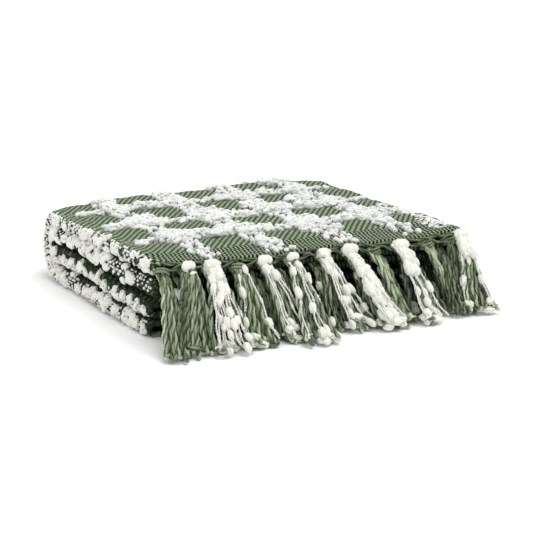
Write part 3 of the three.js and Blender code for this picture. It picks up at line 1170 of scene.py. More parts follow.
@dataclass
class ThrowSheet:
    """The folded cloth itself, a thick sheet on its folds."""

    stack: FoldedStack
    check: Check
    finish: Material
    thickness: float = 0.0048
    pack_steps: int = 58
    turn_steps: int = 30
    outer_steps: int = 70
    hidden_steps: int = 14
    fold_steps: int = 12
    pillow: float = 0.0010
    pillow_edge: Pair = (0.008, 0.022)
    wobble: float = 0.0005
    # Painted shade written into the shade attribute: on hidden plies, on inner faces, on the right fold, and
    # rising over the sides of the left folds.
    ply_shade: float = 0.9
    inner_shade: float = 0.95
    right_shade: float = 0.3
    crest_shade: Pair = (0.62, 0.90)

    def stations(self) -> Place:
        """Stations from the upper fringe round the turn to the lower fringe."""
        pack = np.linspace(1, 0, self.pack_steps + 1)
        turn = np.linspace(0, math.pi, self.turn_steps + 1)[1:-1]
        forward = np.concatenate([pack, np.zeros(len(turn)), pack[::-1]])
        angle = np.concatenate([np.zeros(len(pack)), turn, np.full(len(pack), math.pi)])
        return Place(forward[:, None], angle[:, None])

    def centre_line(self, place: Place) -> dict[str, Array]:
        """Middle line of the four plies across each station.

        Args:
            place: The stations, as a column.

        Returns:
            x, level, their face normals, u, and under the key fold the painted shade of each point: on the
            hidden plies and the left folds' sides and crease, and less on the right fold.
        """
        stack = self.stack
        folds = [stack.outer_left, stack.right, stack.inner_left]
        centres = [stack.fold_centre(place, fold) for fold in folds]
        ends = [stack.edge_reach(place, stack.outer_selvedge), *(c[0] for c in centres),
                stack.edge_reach(place, stack.inner_selvedge)]
        parts = []
        for run in range(OUTER_PLY + 1):
            steps = self.outer_steps if run == 0 else self.hidden_steps
            share = np.linspace(0, 1, steps + 1)[None, :]
            x = mix(ends[run], ends[run + 1], share)
            facing = 1 if run % 2 == 0 else -1
            level = stack.ply_level(place, x, OUTER_PLY - run)
            # Hidden plies get painted shade; the top ply gets none.
            shade = np.full_like(x, 0 if run == 0 else self.ply_shade)
            parts.append((x, level, np.zeros_like(x), np.full_like(x, facing), shade))
            if run < OUTER_PLY:
                centre_x, centre_level, radius = centres[run]
                turn = np.linspace(0, math.pi, self.fold_steps + 1)[None, 1:-1]
                side = folds[run].side
                x, level = centre_x + radius * side * np.sin(turn), centre_level + radius * np.cos(turn)
                # Painted shade round the fold: full on the hidden folds and on the lower half of the outer
                # left fold, rising over its upper side; 0.3 times as much on the right fold.
                lit_to = math.pi / 2 if run == 0 else 0
                shade = np.maximum(smooth(np.sin(turn), *self.crest_shade), turn > lit_to)
                shade = shade * (1 if side < 0 else self.right_shade)
                column = np.ones_like(centre_x)
                normals = (-np.sin(turn) * column, -side * np.cos(turn) * column)
                parts.append((x, level, *normals, shade * column))
        keys = ("x", "level", "nx", "nl", "fold")
        line = {key: np.concatenate(part, axis=1) for key, part in zip(keys, zip(*parts))}
        steps = np.hypot(np.diff(line["x"], axis=1), np.diff(line["level"], axis=1))
        u = np.concatenate([np.zeros_like(place.forward), np.cumsum(steps, axis=1)], axis=1)
        line["u"] = u - u[:, self.outer_steps:self.outer_steps + 1] - line["x"][:, [self.outer_steps]]
        line["v"] = stack.course(place, line["x"]) + self.check.shift(line["u"])
        return line

    def relief(self, line: dict[str, Array]) -> Array:
        """How far the outer face stands out, in the green squares and in slow wobbles."""
        check = self.check
        u, v = line["u"], line["v"]
        warp = smooth(check.near(u, check.warp_at, check.warp_repeat), *self.pillow_edge)
        weft = smooth(check.near(v, check.weft_at, check.weft_repeat), *self.pillow_edge)
        wobble = np.sin(u * 137 + 3 * np.sin(v * 61)) * np.sin(v * 151 + 2 * np.sin(u * 83))
        return self.pillow * warp * weft + self.wobble * wobble

    def build(self) -> Object:
        """Makes the closed sheet."""
        place = self.stations()
        line = self.centre_line(place)
        half = self.thickness / 2
        lift = self.relief(line)
        faces_out = []
        for sign, extra in ((1, lift), (-1, np.zeros_like(lift))):
            reach = half + extra
            x = line["x"] + sign * line["nx"] * reach
            level = line["level"] + sign * line["nl"] * reach
            faces_out.append(self.stack.point(place, x, level))
        rings = np.concatenate([faces_out[0], faces_out[1][:, ::-1]], axis=1)
        u = np.concatenate([line["u"], line["u"][:, ::-1]], axis=1)
        v = np.concatenate([line["v"], line["v"][:, ::-1]], axis=1)
        # Inner faces get painted shade all over; the shade attribute carries it to the weave's material.
        shade = np.concatenate([line["fold"], np.full_like(line["fold"], self.inner_shade)], axis=1)
        count, size = rings.shape[:2]
        ring = np.arange(size)
        following = (ring + 1) % size
        base = np.arange(count - 1)[:, None] * size
        walls = np.stack([base + ring, base + ring + size, base + following + size, base + following], -1)
        near = np.arange(size // 2 - 1)
        far = size - 1 - near
        last = (count - 1) * size
        caps = np.concatenate([
            np.stack([near, near + 1, far - 1, far], -1),
            np.stack([last + near, last + far, last + far - 1, last + near + 1], -1),
        ])
        faces = np.concatenate([walls.reshape(-1, 4), caps])
        uv = np.stack([u.ravel(), v.ravel()], -1)[faces]
        mesher = Mesher()
        mesher.add(Shape(rings.reshape(-1, 3), [faces], np.zeros(count * size), [uv]))
        sheet = mesher.build("throw_sheet", self.finish)
        attribute = sheet.data.attributes.new(SHADE, "FLOAT", "POINT")
        attribute.data.foreach_set("value", shade.astype(np.float32).ravel())
        return sheet


# Raised chenille


@dataclass(frozen=True)
class Puff:
    """A big puff on the top: its middle and its length, in millimetres."""

    x: float
    y: float
    length: float


TOP_PUFFS = tuple(Puff(*row) for row in (
    (-103, 130, 24), (-102, 92, 28), (-104, 13, 48), (-98, -51, 38), (-150, -48, 17), (-147, 83, 12),
    (-138, 15, 28), (-68, 90, 28), (-35, 90, 25), (26, 90, 26), (26, 46, 17), (41, 13, 38),
    (39, -57, 32), (-80, -51, 32), (-21, -54, 48), (-58, -58, 24), (66, 91, 20), (104, 93, 24),
    (91, 50, 30), (86, 15, 38), (97, 136, 19), (7, 6, 16), (-33, 2, 23), (-34, 37, 19), (-13, 11, 24),
    (-33, -112, 19), (99, 13, 40), (112, -28, 18), (117, -58, 22), (85, -57, 24), (138, -50, 16),
    (34, -82, 26), (132, 12, 14), (54, -92, 10), (112, -92, 17), (156, -56, 12),
))


@dataclass(frozen=True)
class FoldRows:
    """Rows of chenille round one left fold, as angles round it and courses along it."""

    fold: Fold
    oval_angle: float
    ovals: tuple[float, ...]
    nub_rows: tuple[float, ...]
    nub_share: float
    blob_rows: tuple[float, ...]
    bead_rows: tuple[float, ...]
    bare: tuple[Pair, ...] = ()

    def is_bare(self, course: Array) -> Array:
        """Tells the courses at which the cloth shows."""
        inside = [(course > low) & (course < high) for low, high in self.bare]
        return np.any(inside, axis=0) if inside else np.zeros(len(course), bool)


LEFT_FOLDS = (
    FoldRows(
        FoldedStack.outer_left, oval_angle=1.58, ovals=(-0.113, -0.039, 0.039, 0.112),
        nub_rows=(0.92, 1.68, 2.46), nub_share=0.24, blob_rows=(1.42, 2.00, 2.56),
        bead_rows=(0.70, 1.05, 1.40, 1.75, 2.10, 2.45),
    ),
    FoldRows(
        FoldedStack.inner_left, oval_angle=1.45, ovals=(-0.078, -0.002, 0.070, 0.146),
        nub_rows=(0.50, 1.22, 1.92), nub_share=0.50, blob_rows=(0.50, 1.14, 1.78),
        bead_rows=(0.55, 0.90, 1.25, 1.60), bare=((-1.0, -0.100), (-0.060, -0.036)),
    ),
)


@dataclass
class RaisedChenille(PieceMaker):
    """Lumps, puffs, streaks and beads of chenille that stand out of the cloth."""

    stack: FoldedStack
    check: Check
    kit: SlubKit
    finish: Material
    # A lighter, warmer copy of the chenille for the left folds: painted light, to make up for the weaker
    # light on that side.
    painted_lighter_side_finish: Material
    rise: float = 0.0024
    knob_pitch: float = 0.00155
    warp_band: float = 0.0108
    weft_band: float = 0.0084
    slow_wave: Pair = (0.22, 210)
    quick_wave: Pair = (0.16, 470)
    band_power: float = 0.8
    front_share: float = 0.72
    front_thin: Pair = (-0.125, -0.080)
    crossing_rows: tuple[float, ...] = (-0.0110, -0.0035, 0.0040, 0.0110)
    crossing_reach: float = 0.0170
    crossing_spread: Pair = (0.55, 1.1)
    crossing_stray: float = 0.0030
    front_crossing: float = 0.95
    back_crossing: float = 0.50
    back_from: float = 0.06
    lump_pitch: float = 0.0078
    lump_margin: float = 0.0050
    lump_stray: float = 0.0013
    lump_stand: Pair = (0.16, 0.36)
    lump_room: float = 0.0034
    grains_each: int = 3
    grain_reach: Pair = (0.05, 0.85)
    grain_depth: float = 0.48
    bare_side: float = 0.010
    left_end: float = -0.146
    right_front_end: float = 0.139
    right_back_end: float = 0.117
    right_turns: Pair = (-0.05, 0.05)
    front_course: float = -0.143
    selvedge_share: float = 0.50
    selvedge_rows: tuple[Triple, ...] = (
        (0.1560, -0.010, 0.0019), (0.1470, -0.095, 0.0027),
    )
    selvedge_margin: float = 0.004
    selvedge_stray: float = 0.0032
    under_margin: float = 0.004
    fold_margin: float = 0.022
    fold_overrun: float = 0.012
    fold_back: float = 0.014
    bead_lead: float = 0.010
    nub_grid: Pair = (0.0128, 0.0022)
    blob_grid: Pair = (0.0148, 0.0030)
    bead_grid: Pair = (0.0046, 0.0014)
    nub_turn: float = 0.14
    blob_turn: float = 0.18
    oval_room: float = 0.0135
    oval_turn: float = 0.7
    blob_share: float = 0.50
    bead_share: float = 0.56
    streak_share: float = 0.06
    right_knobs: int = 34
    right_margin: float = 0.02
    right_shift: float = 0.030
    right_spread: float = 1.1
    right_angles: Pair = (0.35, 2.8)
    knob: SlubKind = SlubKind(
        (0.0046, 0.0082), (0.0042, 0.0064), (0.0042, 0.0064), KNOB_FORMS, stand=0.22, stray=0.45,
    )
    back_knob: SlubKind = replace(knob, stray=0.35)
    right_knob: SlubKind = replace(knob, forms=SMALL_FORMS, stand=0.2, stray=0.6)
    pressed: SlubKind = SlubKind(
        (0.0070, 0.0095), (0.0050, 0.0064), (0.0014, 0.0018), lift=-0.00045, stray=0.35,
    )
    lump: SlubKind = SlubKind(
        (0.0110, 0.0185), (0.0095, 0.0140), (0.0076, 0.0108), PUFF_FORMS, stray=0.25,
    )
    grain: SlubKind = SlubKind((0.0034, 0.0060), (0.0030, 0.0048), (0.0028, 0.0042))
    streak: SlubKind = SlubKind(
        (0.0060, 0.0105), (0.0018, 0.0030), (0.0016, 0.0026), stand=0.3, stray=0.35,
    )
    fold_streak: SlubKind = replace(streak, stand=0.25, stray=0.4)
    oval: SlubKind = SlubKind(
        (0.0115, 0.0140), (0.0210, 0.0250), (0.0056, 0.0066), PUFF_FORMS, lift=-0.0004, stray=0.2,
    )
    blob: SlubKind = SlubKind(
        (0.0082, 0.0118), (0.0100, 0.0160), (0.0064, 0.0086), (SlubForm.PUFF, SlubForm.BURR),
        lift=-0.0004, stray=0.6,
    )
    nub: SlubKind = SlubKind(
        (0.0072, 0.0100), (0.0100, 0.0160), (0.0048, 0.0066), stand=0.25, stray=0.4,
    )
    bead: SlubKind = SlubKind(
        (0.0020, 0.0034), (0.0022, 0.0036), (0.0022, 0.0032), stand=0.25, stray=0.4,
    )

    def top_end(self) -> float:
        """Course at which the top gives way to the turn."""
        return self.stack.turn_y

    def under_start(self) -> float:
        """Course at which the turn gives way to the underside."""
        return self.stack.turn_y + self.stack.turn_course[2]

    def under_end(self) -> float:
        """Course at which the underside's band of knobs ends."""
        return self.under_start() + self.stack.turn_y - self.stack.lower_front_y - self.under_margin

    def right_end(self, course: Array) -> Array:
        """Place across at which the bands of the top end, short of the selvedge."""
        return mix(self.right_front_end, self.right_back_end, smooth(course, *self.right_turns))

    def strew(self, mesher: Mesher, face: Face, places: tuple[Array, Array], kind: SlubKind,
              rng: Rng, run: Run = Run.WEFT) -> None:
        """Lays slubs of one kind on a face.

        Args:
            mesher: Where they go.
            face: The face.
            places: Place across and course of each.
            kind: The kind.
            rng: Random numbers.
            run: Way that they lie.
        """
        size = kind.draw(len(places[0]), rng)
        spots = face.lay(*places, kind.lift + size[:, 2] * kind.stand, size, run, kind.stray, rng)
        self.kit.scatter(mesher, spots, kind.forms, rng)

    def strewn(self, start: float, end: float, half_band: float, rng: Rng) -> tuple[Array, Array]:
        """Spreads knobs along a band whose edges wander.

        Args:
            start: Where the band starts.
            end: Where it ends.
            half_band: Half of its usual width.
            rng: Random numbers.

        Returns:
            Place along the band and offset from its middle, for each knob.
        """
        count = int((end - start) / self.knob_pitch * half_band / self.warp_band)
        along = start + (end - start) * (np.arange(count) + rng.random(count)) / count
        wander = np.ones(count)
        for (depth, turns), phase in zip((self.slow_wave, self.quick_wave), rng.uniform(0, math.tau, 2)):
            wander += depth * np.sin(along * turns + phase)
        offset = rng.uniform(-1, 1, count)
        return along, half_band * wander * np.sign(offset) * np.abs(offset) ** self.band_power

    def band_knobs(self, start: float, end: float, rng: Rng) -> list[tuple[Array, Array, Run]]:
        """Places of the knobs of both kinds of band.

        Args:
            start: Course at which the knobs start.
            end: Course at which they end.
            rng: Random numbers.

        Returns:
            Place across, course and run of each group.
        """
        groups = []
        side = self.stack.half_width - self.bare_side
        wefts = [v for v in self.check.wefts(start, end) if v > self.check.weft_from]
        for centre in wefts:
            x, offset = self.strewn(-side, side, self.weft_band, rng)
            groups.append((x, centre + offset, Run.WEFT))
        for centre in -self.check.warps(-side, side):
            course, offset = self.strewn(start, end, self.warp_band, rng)
            share = mix(self.front_share, 1.0, smooth(course, *self.front_thin))
            kept = rng.random(len(course)) < share
            for weft in wefts:
                kept &= np.abs(course - weft) > self.weft_band
            groups.append((centre + offset[kept], course[kept], Run.WARP))
        return groups

    def top_lumps(self, rng: Rng) -> tuple[Array, Array]:
        """Places of the big lumps: rows across each crossing, and the puffs of the table."""
        rows = [(puff.x / MM_PER_M, puff.y / MM_PER_M, puff.length / (2 * MM_PER_M)) for puff in TOP_PUFFS]
        for x in -self.check.warps(-self.stack.half_width, self.stack.half_width):
            for y in self.check.wefts(self.check.weft_from, self.top_end()):
                share = self.back_crossing if y > self.back_from else self.front_crossing
                for offset in self.crossing_rows:
                    reach = self.crossing_reach * rng.uniform(*self.crossing_spread) * share
                    rows.append((x + rng.normal(0, self.crossing_stray), y + offset, reach))
        places = []
        for x, y, reach in rows:
            count = max(int(round(reach * 2 / self.lump_pitch)), 2)
            spread = np.linspace(-1, 1, count) * (reach - self.lump_margin)
            places.append(np.stack([x + spread, np.full(count, y)], -1))
        x, course = np.concatenate(places).T
        inside = (x > self.left_end) & (x < self.right_end(course))
        return x[inside], course[inside] + rng.normal(0, self.lump_stray, inside.sum())

    def grains_on(self, lumps: Spots, rng: Rng) -> Spots:
        """Spreads small grains over the upper side of lumps, as the pile bunches up.

        Args:
            lumps: The lumps.
            rng: Random numbers.

        Returns:
            Places of the grains.
        """
        owner = np.repeat(np.arange(len(lumps.centre)), self.grains_each)
        way = rng.uniform(0, math.tau, len(owner))
        reach = np.sqrt(rng.uniform(*self.grain_reach, len(owner)))
        offset = np.stack([reach * np.cos(way), reach * np.sin(way), np.sqrt(1 - reach ** 2)], -1)
        offset = offset * lumps.size[owner] * self.grain_depth
        along, out = lumps.along[owner], lumps.out[owner]
        centre = lumps.centre[owner] + offset[:, :1] * along + offset[:, 2:] * out
        centre = centre + offset[:, 1:2] * np.cross(out, along)
        size = self.grain.draw(len(owner), rng)
        return Spots(centre, along, out, size, rng.random(len(owner)), way)

    def build_top(self) -> None:
        """Lays the puffs, knobs and streaks of the top."""
        rng = np.random.default_rng(41)
        face = Face(self.stack, self.rise)
        puffs, grains, knobs = Mesher(), Mesher(), Mesher()
        lump_x, lump_course = self.top_lumps(rng)
        size = self.lump.draw(len(lump_x), rng)
        lift = size[:, 2] * rng.uniform(*self.lump_stand, len(lump_x))
        spots = face.lay(lump_x, lump_course, lift, size, Run.WEFT, self.lump.stray, rng)
        self.kit.scatter(puffs, spots, self.lump.forms, rng)
        self.keep(puffs, "top_puffs", self.finish)
        self.kit.scatter(grains, self.grains_on(spots, rng), self.grain.forms, rng)
        self.keep(grains, "top_grains", self.finish)
        for x, course, run in self.band_knobs(self.front_course, self.top_end(), rng):
            near = np.hypot(x[:, None] - lump_x, course[:, None] - lump_course).min(axis=1)
            is_short = (x < self.right_end(course)) | (rng.random(len(x)) < self.selvedge_share)
            is_free = (near > self.lump_room) & (x > self.left_end) & is_short
            self.strew(knobs, face, (x[is_free], course[is_free]), self.knob, rng, run)
        for middle, end, step in self.selvedge_rows:
            course = np.arange(self.front_course + self.selvedge_margin, end, step)
            size = self.streak.draw(len(course), rng)
            x = middle + rng.normal(0, self.selvedge_stray, len(course))
            lift = size[:, 2] * self.streak.stand
            spots = face.lay(x, course, lift, size, Run.WEFT, self.streak.stray, rng)
            self.kit.scatter(knobs, spots, self.streak.forms, rng)
        self.keep(knobs, "top_knobs", self.finish)

    def build_turn_and_underside(self) -> None:
        """Lays the knobs of the back and the pressed ones beneath."""
        rng = np.random.default_rng(42)
        face = Face(self.stack, self.rise)
        for name, start, end, kind in (
            ("back_knobs", self.top_end(), self.under_start(), self.back_knob),
            ("underside_knobs", self.under_start(), self.under_end(), self.pressed),
        ):
            knobs = Mesher()
            for x, course, run in self.band_knobs(start, end, rng):
                self.strew(knobs, face, (x, course), kind, rng, run)
            self.keep(knobs, name, self.finish)

    def build_left(self) -> None:
        """Lays the ovals, nubs, blobs, beads and streaks of the left folds."""
        rng = np.random.default_rng(43)
        soft, small = Mesher(), Mesher()
        start, end = self.front_course + self.fold_margin, self.under_end() + self.fold_overrun
        upper_end, lower_start = self.top_end() + self.fold_overrun, self.under_start() - self.fold_back
        for rows in LEFT_FOLDS:
            face = FoldFace(self.stack, self.rise, fold=rows.fold)
            ovals = np.array(rows.ovals)
            self.strew(soft, face, (np.full(len(ovals), rows.oval_angle), ovals), self.oval, rng)
            course, angle = jittered_rows(np.array(rows.nub_rows), start, upper_end, *self.nub_grid, rng)
            gap = np.abs(course[:, None] - ovals).min(axis=1)
            near_oval = (gap < self.oval_room) & (np.abs(angle - rows.oval_angle) < self.oval_turn)
            is_kept = rng.random(len(course)) < rows.nub_share
            is_kept &= ~near_oval & ~rows.is_bare(course)
            angle = angle[is_kept] + rng.normal(0, self.nub_turn, is_kept.sum())
            self.strew(soft, face, (angle, course[is_kept]), self.nub, rng)
            course, angle = jittered_rows(np.array(rows.blob_rows), lower_start, end, *self.blob_grid, rng)
            is_kept = rng.random(len(course)) < self.blob_share
            angle = angle[is_kept] + rng.normal(0, self.blob_turn, is_kept.sum())
            self.strew(soft, face, (angle, course[is_kept]), self.blob, rng)
            course, angle = jittered_rows(
                np.array(rows.bead_rows), start - self.bead_lead, end, *self.bead_grid, rng,
            )
            draw = rng.random(len(course))
            is_bead, is_streak = draw < self.bead_share, draw > 1 - self.streak_share
            for kind, chosen in ((self.bead, is_bead), (self.fold_streak, is_streak)):
                self.strew(small, face, (angle[chosen], course[chosen]), kind, rng)
        self.keep(soft, "left_fold_puffs", self.painted_lighter_side_finish)
        self.keep(small, "left_fold_knobs", self.painted_lighter_side_finish)

    def build_right(self) -> None:
        """Lays the knobs of the right fold."""
        rng = np.random.default_rng(44)
        face = FoldFace(self.stack, self.rise, fold=self.stack.right)
        knobs = Mesher()
        wefts = self.check.wefts(self.front_course + self.right_margin, self.under_end())
        for centre in wefts + self.right_shift:
            spread = rng.uniform(-self.right_spread, self.right_spread, self.right_knobs)
            angle = rng.uniform(*self.right_angles, self.right_knobs)
            course = centre + self.check.half_band * spread
            self.strew(knobs, face, (angle, course), self.right_knob, rng)
        self.keep(knobs, "right_fold_knobs", self.finish)

    def build(self) -> None:
        """Builds all the raised pieces."""
        self.build_top()
        self.build_turn_and_underside()
        self.build_left()
        self.build_right()


# Fringe


@dataclass(frozen=True)
class Tassel:
    """One tassel of the top fringe: its root along the edge and its tip on the floor, in millimetres."""

    root_x: float
    tip: Pair
    spread: float
    greens: int
    tone: float
    threads: int = 0
    slubs: int = 0
    knob: float = 0
    chain: float = 0
    cluster: int = 0
    curls: int = 0


TOP_TASSELS = (
    Tassel(-159, (-173, -206), 22, 12, 0.36),
    Tassel(-133, (-152, -203), 42, 18, 0.32, knob=13, cluster=3, curls=8),
    Tassel(-109, (-118, -208), 36, 4, 0.20, threads=11, slubs=3, knob=15, chain=0.26, cluster=6),
    Tassel(-83, (-86, -200), 32, 13, 0.46, threads=2, slubs=2, cluster=5, curls=4),
    Tassel(-55, (-42, -199), 34, 12, 0.52, threads=4, slubs=2, knob=14, cluster=6, curls=2),
    Tassel(-26, (-31, -221), 32, 10, 0.52, threads=4, slubs=3, knob=12, cluster=5),
    Tassel(7, (23, -194), 30, 10, 0.54, threads=5, slubs=3, knob=14, cluster=5),
    Tassel(35, (54, -208), 32, 5, 0.35, threads=8, slubs=1, knob=16, chain=0.94, cluster=10),
    Tassel(62, (86, -184), 32, 13, 0.62, cluster=4),
    Tassel(91, (96, -208), 28, 5, 0.34, threads=6, slubs=2, knob=15, chain=0.36, cluster=12),
    Tassel(120, (147, -183), 36, 14, 0.62, cluster=5, curls=3),
    # A tone below zero darkens this hidden tassel: painted shade, as it hangs in shade behind its neighbours.
    Tassel(145, (160, -170), 30, 10, -0.30),
    Tassel(158, (157, -199), 32, 13, 0.46, threads=5, slubs=1, knob=15, chain=0.30, cluster=4),
)


@dataclass(frozen=True)
class HiddenRow:
    """Tassels of one of the plies behind, with the distance that they run in millimetres."""

    is_upper: bool
    ply: int
    tassels: int
    run: float


HIDDEN_ROWS = (
    HiddenRow(is_upper=True, ply=2, tassels=9, run=48),
    HiddenRow(is_upper=True, ply=1, tassels=8, run=36),
    HiddenRow(is_upper=True, ply=0, tassels=8, run=24),
    HiddenRow(is_upper=False, ply=0, tassels=9, run=30),
    HiddenRow(is_upper=False, ply=2, tassels=9, run=20),
)


@dataclass(frozen=True)
class Hang:
    """Where a tassel hangs: the middle of its root on the edge, and of its tips on the floor."""

    root: Array
    tip: Array

    @property
    def forward(self) -> Array:
        """Level way from the root to the tips."""
        return unit((self.tip - self.root) * [1, 1, 0])

    @property
    def side(self) -> Array:
        """Level way across the tassel."""
        ahead = self.forward
        return np.array([-ahead[1], ahead[0], 0])


@dataclass(frozen=True)
class Crimp:
    """Kinks that the weave has left in a strand: their depth and length."""

    depth: float
    wave: float


@dataclass
class Fringe(PieceMaker):
    """Knotted tassels of both ends, and the cords along the top end's edge."""

    stack: FoldedStack
    kit: SlubKit
    green: Material
    white: Material
    chenille: Material
    strand_radius: float = 0.00196
    thread_radius: float = 0.00098
    thick_radius: float = 0.00165
    strand: Yarn = Yarn(8, 0.19, 0.032)
    hidden_strand: Yarn = Yarn(6, 0.16, 0.032)
    thread: Yarn = Yarn(6, 0.05, 0.010)
    strand_crimp: Crimp = Crimp(0.00048, 0.0170)
    thread_crimp: Crimp = Crimp(0.00070, 0.034)
    hidden_crimp: Crimp = Crimp(0.0007, 0.012)
    cord_crimp: Crimp = Crimp(0.0003, 0.024)
    crimp_rise: Pair = (0.004, 0.016)
    crimp_stray: float = 0.55
    crimp_scale: Pair = (0.94, 1.06)
    sway_share: float = 0.6
    roll_stretch: float = 1.13
    sway_stretch: float = 4.3
    floor_room: float = 1.25
    strand_steps: int = 44
    thread_steps: int = 30
    hidden_steps: int = 18
    edge_offset: Triple = (0, 0.0040, -0.0038)
    gather_offset: Triple = (0, -0.0056, -0.0080)
    bundle_depth: Triple = (0, 0.0034, 0.0026)
    squeeze: float = 0.35
    edge_squeeze: float = 1.2
    gather_squeeze: float = 0.85
    first_handle: Triple = (0.20, 0.36, 0.10)
    second_handle: Triple = (0.60, 0.62, 0.80)
    softness: Pair = (-0.06, 0.08)
    fan_shares: tuple[float, ...] = (0.13, 0.30, 0.50, 0.70, 0.87, 1.0)
    foot_stray: float = 1.2
    foot_ahead: Pair = (-0.010, 0.007)
    foot_height: Pair = (0.0022, 0.0110)
    curl_radius: Pair = (0.0032, 0.0050)
    curl_angles: tuple[float, ...] = (0.8, 1.7, 2.6, 3.6)
    straight_step: float = 0.0010
    knot_offset: Triple = (0, -0.0046, -0.0064)
    knot_turns: float = 2.3
    knot_steps: int = 40
    knot_reach: float = 0.0042
    knot_wobble: float = 0.0004
    knot_width: float = 1.35
    knot_length: float = 0.0048
    knot_yarn: float = 0.9
    white_lift: Triple = (0, -0.0032, 0.0010)
    drape_lift: Triple = (0, -0.00512, 0.0016)
    slub: SlubKind = SlubKind((0.0105, 0.0145), (0.0066, 0.0086), (0.0060, 0.0078))
    foot: SlubKind = SlubKind((0.0085, 0.0125), (0.0070, 0.0095), (0.0062, 0.0082))
    drape: SlubKind = SlubKind((0.0075, 0.0160), (0.0055, 0.0115), (0.0050, 0.0095))
    slub_share: float = 0.85
    drape_share: float = 0.80
    drape_paths: int = 6
    drape_reach: float = 0.0125
    drape_pitch: float = 0.078
    hidden_reach: float = 0.140
    hidden_strands: int = 8
    hidden_spread: float = 0.014
    cord_ends: Pair = (-0.158, 0.156)
    cord_controls: int = 54
    cord_steps: int = 300
    cord_yarn: float = 0.76
    swag_length: float = 0.0262

    def edge_point(self, x: float, is_upper: bool, ply: int) -> Array:
        """Middle of the end of a ply at x."""
        place = Place(np.array([1.0]), np.array([0.0 if is_upper else math.pi]))
        at = np.array([x])
        return self.stack.point(place, at, self.stack.ply_level(place, at, ply))[0]

    def fan(self, hang: Hang, across: Array, ahead: Array, heights: Array, rng: Rng) -> Array:
        """Leads strands from a root on the edge to the floor.

        Args:
            hang: Where the tassel hangs.
            across: Place of each strand's foot across the tassel.
            ahead: How far each foot lies past the tip.
            heights: Height of each foot.
            rng: Random numbers.

        Returns:
            Control points, as strands by points by three.
        """
        count, side = len(across), hang.side
        feet = hang.tip + across[:, None] * side + ahead[:, None] * hang.forward
        feet[:, 2] = heights
        squeeze = across[:, None] * side * self.squeeze
        depth = rng.uniform(-1, 1, count)[:, None] * np.array(self.bundle_depth)
        edge = hang.root + squeeze * self.edge_squeeze + self.edge_offset + depth * 0.5
        gather = hang.root + squeeze * self.gather_squeeze + self.gather_offset + depth
        first = np.array(self.first_handle)
        second = self.second_handle + np.outer(rng.uniform(*self.softness, count), [0, 0, 1])
        controls = [edge, gather]
        for t in self.fan_shares:
            shares = 3 * t * (1 - t) ** 2 * first + 3 * t ** 2 * (1 - t) * second + t ** 3
            controls.append(gather + (feet - gather) * shares)
        return np.stack(controls, axis=1)

    def crimped(self, paths: Array, crimp: Crimp, rng: Rng) -> Array:
        """Gives strands the kinks that the weave has left in them, and keeps them off the floor.

        Args:
            paths: Points of the strands.
            crimp: The kinks.
            rng: Random numbers.

        Returns:
            The kinked paths.
        """
        _, normals, others = frames_along(paths)
        passed = lengths_along(paths)
        count = len(paths)
        depth = crimp.depth * smooth(passed, *self.crimp_rise)
        start = rng.uniform(0, math.tau, (2, 1, 1))
        phase, drift = start + rng.normal(0, self.crimp_stray, (2, count, 1))
        turns = math.tau * passed / (crimp.wave * rng.uniform(*self.crimp_scale, (count, 1)))
        kink = depth * np.sin(turns + phase)
        roll = self.sway_share * depth * np.cos(turns / self.roll_stretch + drift)
        sway = self.sway_share * depth * np.sin(turns / self.sway_stretch + drift)
        moved = paths + (kink + sway)[..., None] * normals + roll[..., None] * others
        moved[..., 2] = np.maximum(moved[..., 2], self.strand_radius * self.floor_room)
        return moved

    def curled(self, controls: Array, curls: int, rng: Rng) -> Array:
        """Adds a hook to the foot of some strands, and a straight end to the others."""
        count = len(controls)
        way = unit((controls[:, -1] - controls[:, -2]) * [1, 1, 0])
        side = np.cross([0, 0, 1], way) * np.where(rng.random(count) < 0.5, -1, 1)[:, None]
        is_curled = (np.arange(count) < curls)[:, None]
        end = controls[:, -1]
        radius = rng.uniform(*self.curl_radius, count)[:, None]
        added = []
        for angle in self.curl_angles:
            hook = end + radius * (way * math.sin(angle) + side * (1 - math.cos(angle)))
            added.append(np.where(is_curled, hook, end + way * self.straight_step * angle))
        return np.concatenate([controls, np.stack(added, axis=1)], axis=1)

    def tassel_feet(self, tassel: Tassel, count: int, rng: Rng) -> tuple[Array, Array, Array]:
        """Draws where the strands of a tassel end."""
        even = np.linspace(-0.5, 0.5, max(count, 2))[:count] * tassel.spread
        across = (even + rng.normal(0, self.foot_stray, count)) / MM_PER_M
        ahead, heights = rng.uniform(*self.foot_ahead, count), rng.uniform(*self.foot_height, count)
        return rng.permutation(across), ahead, heights

    def build_top_fringe(self) -> Object:
        """Builds the tassels of the top end.

        Returns:
            The green yarn.
        """
        rng = np.random.default_rng(51)
        greens, wraps, threads, slubs = Mesher(), Mesher(), Mesher(), Mesher()
        for tassel in TOP_TASSELS:
            hang = Hang(self.edge_point(tassel.root_x / MM_PER_M, True, OUTER_PLY),
                        np.array([*tassel.tip, 0]) / MM_PER_M)
            controls = self.fan(hang, *self.tassel_feet(tassel, tassel.greens, rng), rng)
            controls = self.curled(controls, tassel.curls, rng)
            paths = self.crimped(along_spline(controls, self.strand_steps), self.strand_crimp, rng)
            thickness = rng.uniform(0.88, 1.12, (len(paths), 1))
            radii = self.strand_radius * thickness * np.ones(self.strand_steps)
            tones = np.clip(tassel.tone + rng.normal(-0.06, 0.38, len(paths)), 0, 1)
            greens.add(yarn_shape(paths, radii, self.strand, tones))
            wraps.add(self.wrap(hang, rng))
            if tassel.threads:
                self.add_threads(tassel, hang, threads, slubs, rng)
            if tassel.chain:
                self.add_drape(tassel, hang, slubs, rng)
            if tassel.knob:
                self.add_knob(tassel, hang, slubs, rng)
            if tassel.cluster:
                self.add_cluster(tassel, hang, slubs, rng)
        piece = self.keep(greens, "upper_green_strands", self.green)
        self.keep(wraps, "upper_knots", self.green)
        self.keep(threads, "upper_white_threads", self.white)
        self.keep(slubs, "upper_fringe_slubs", self.chenille)
        return piece

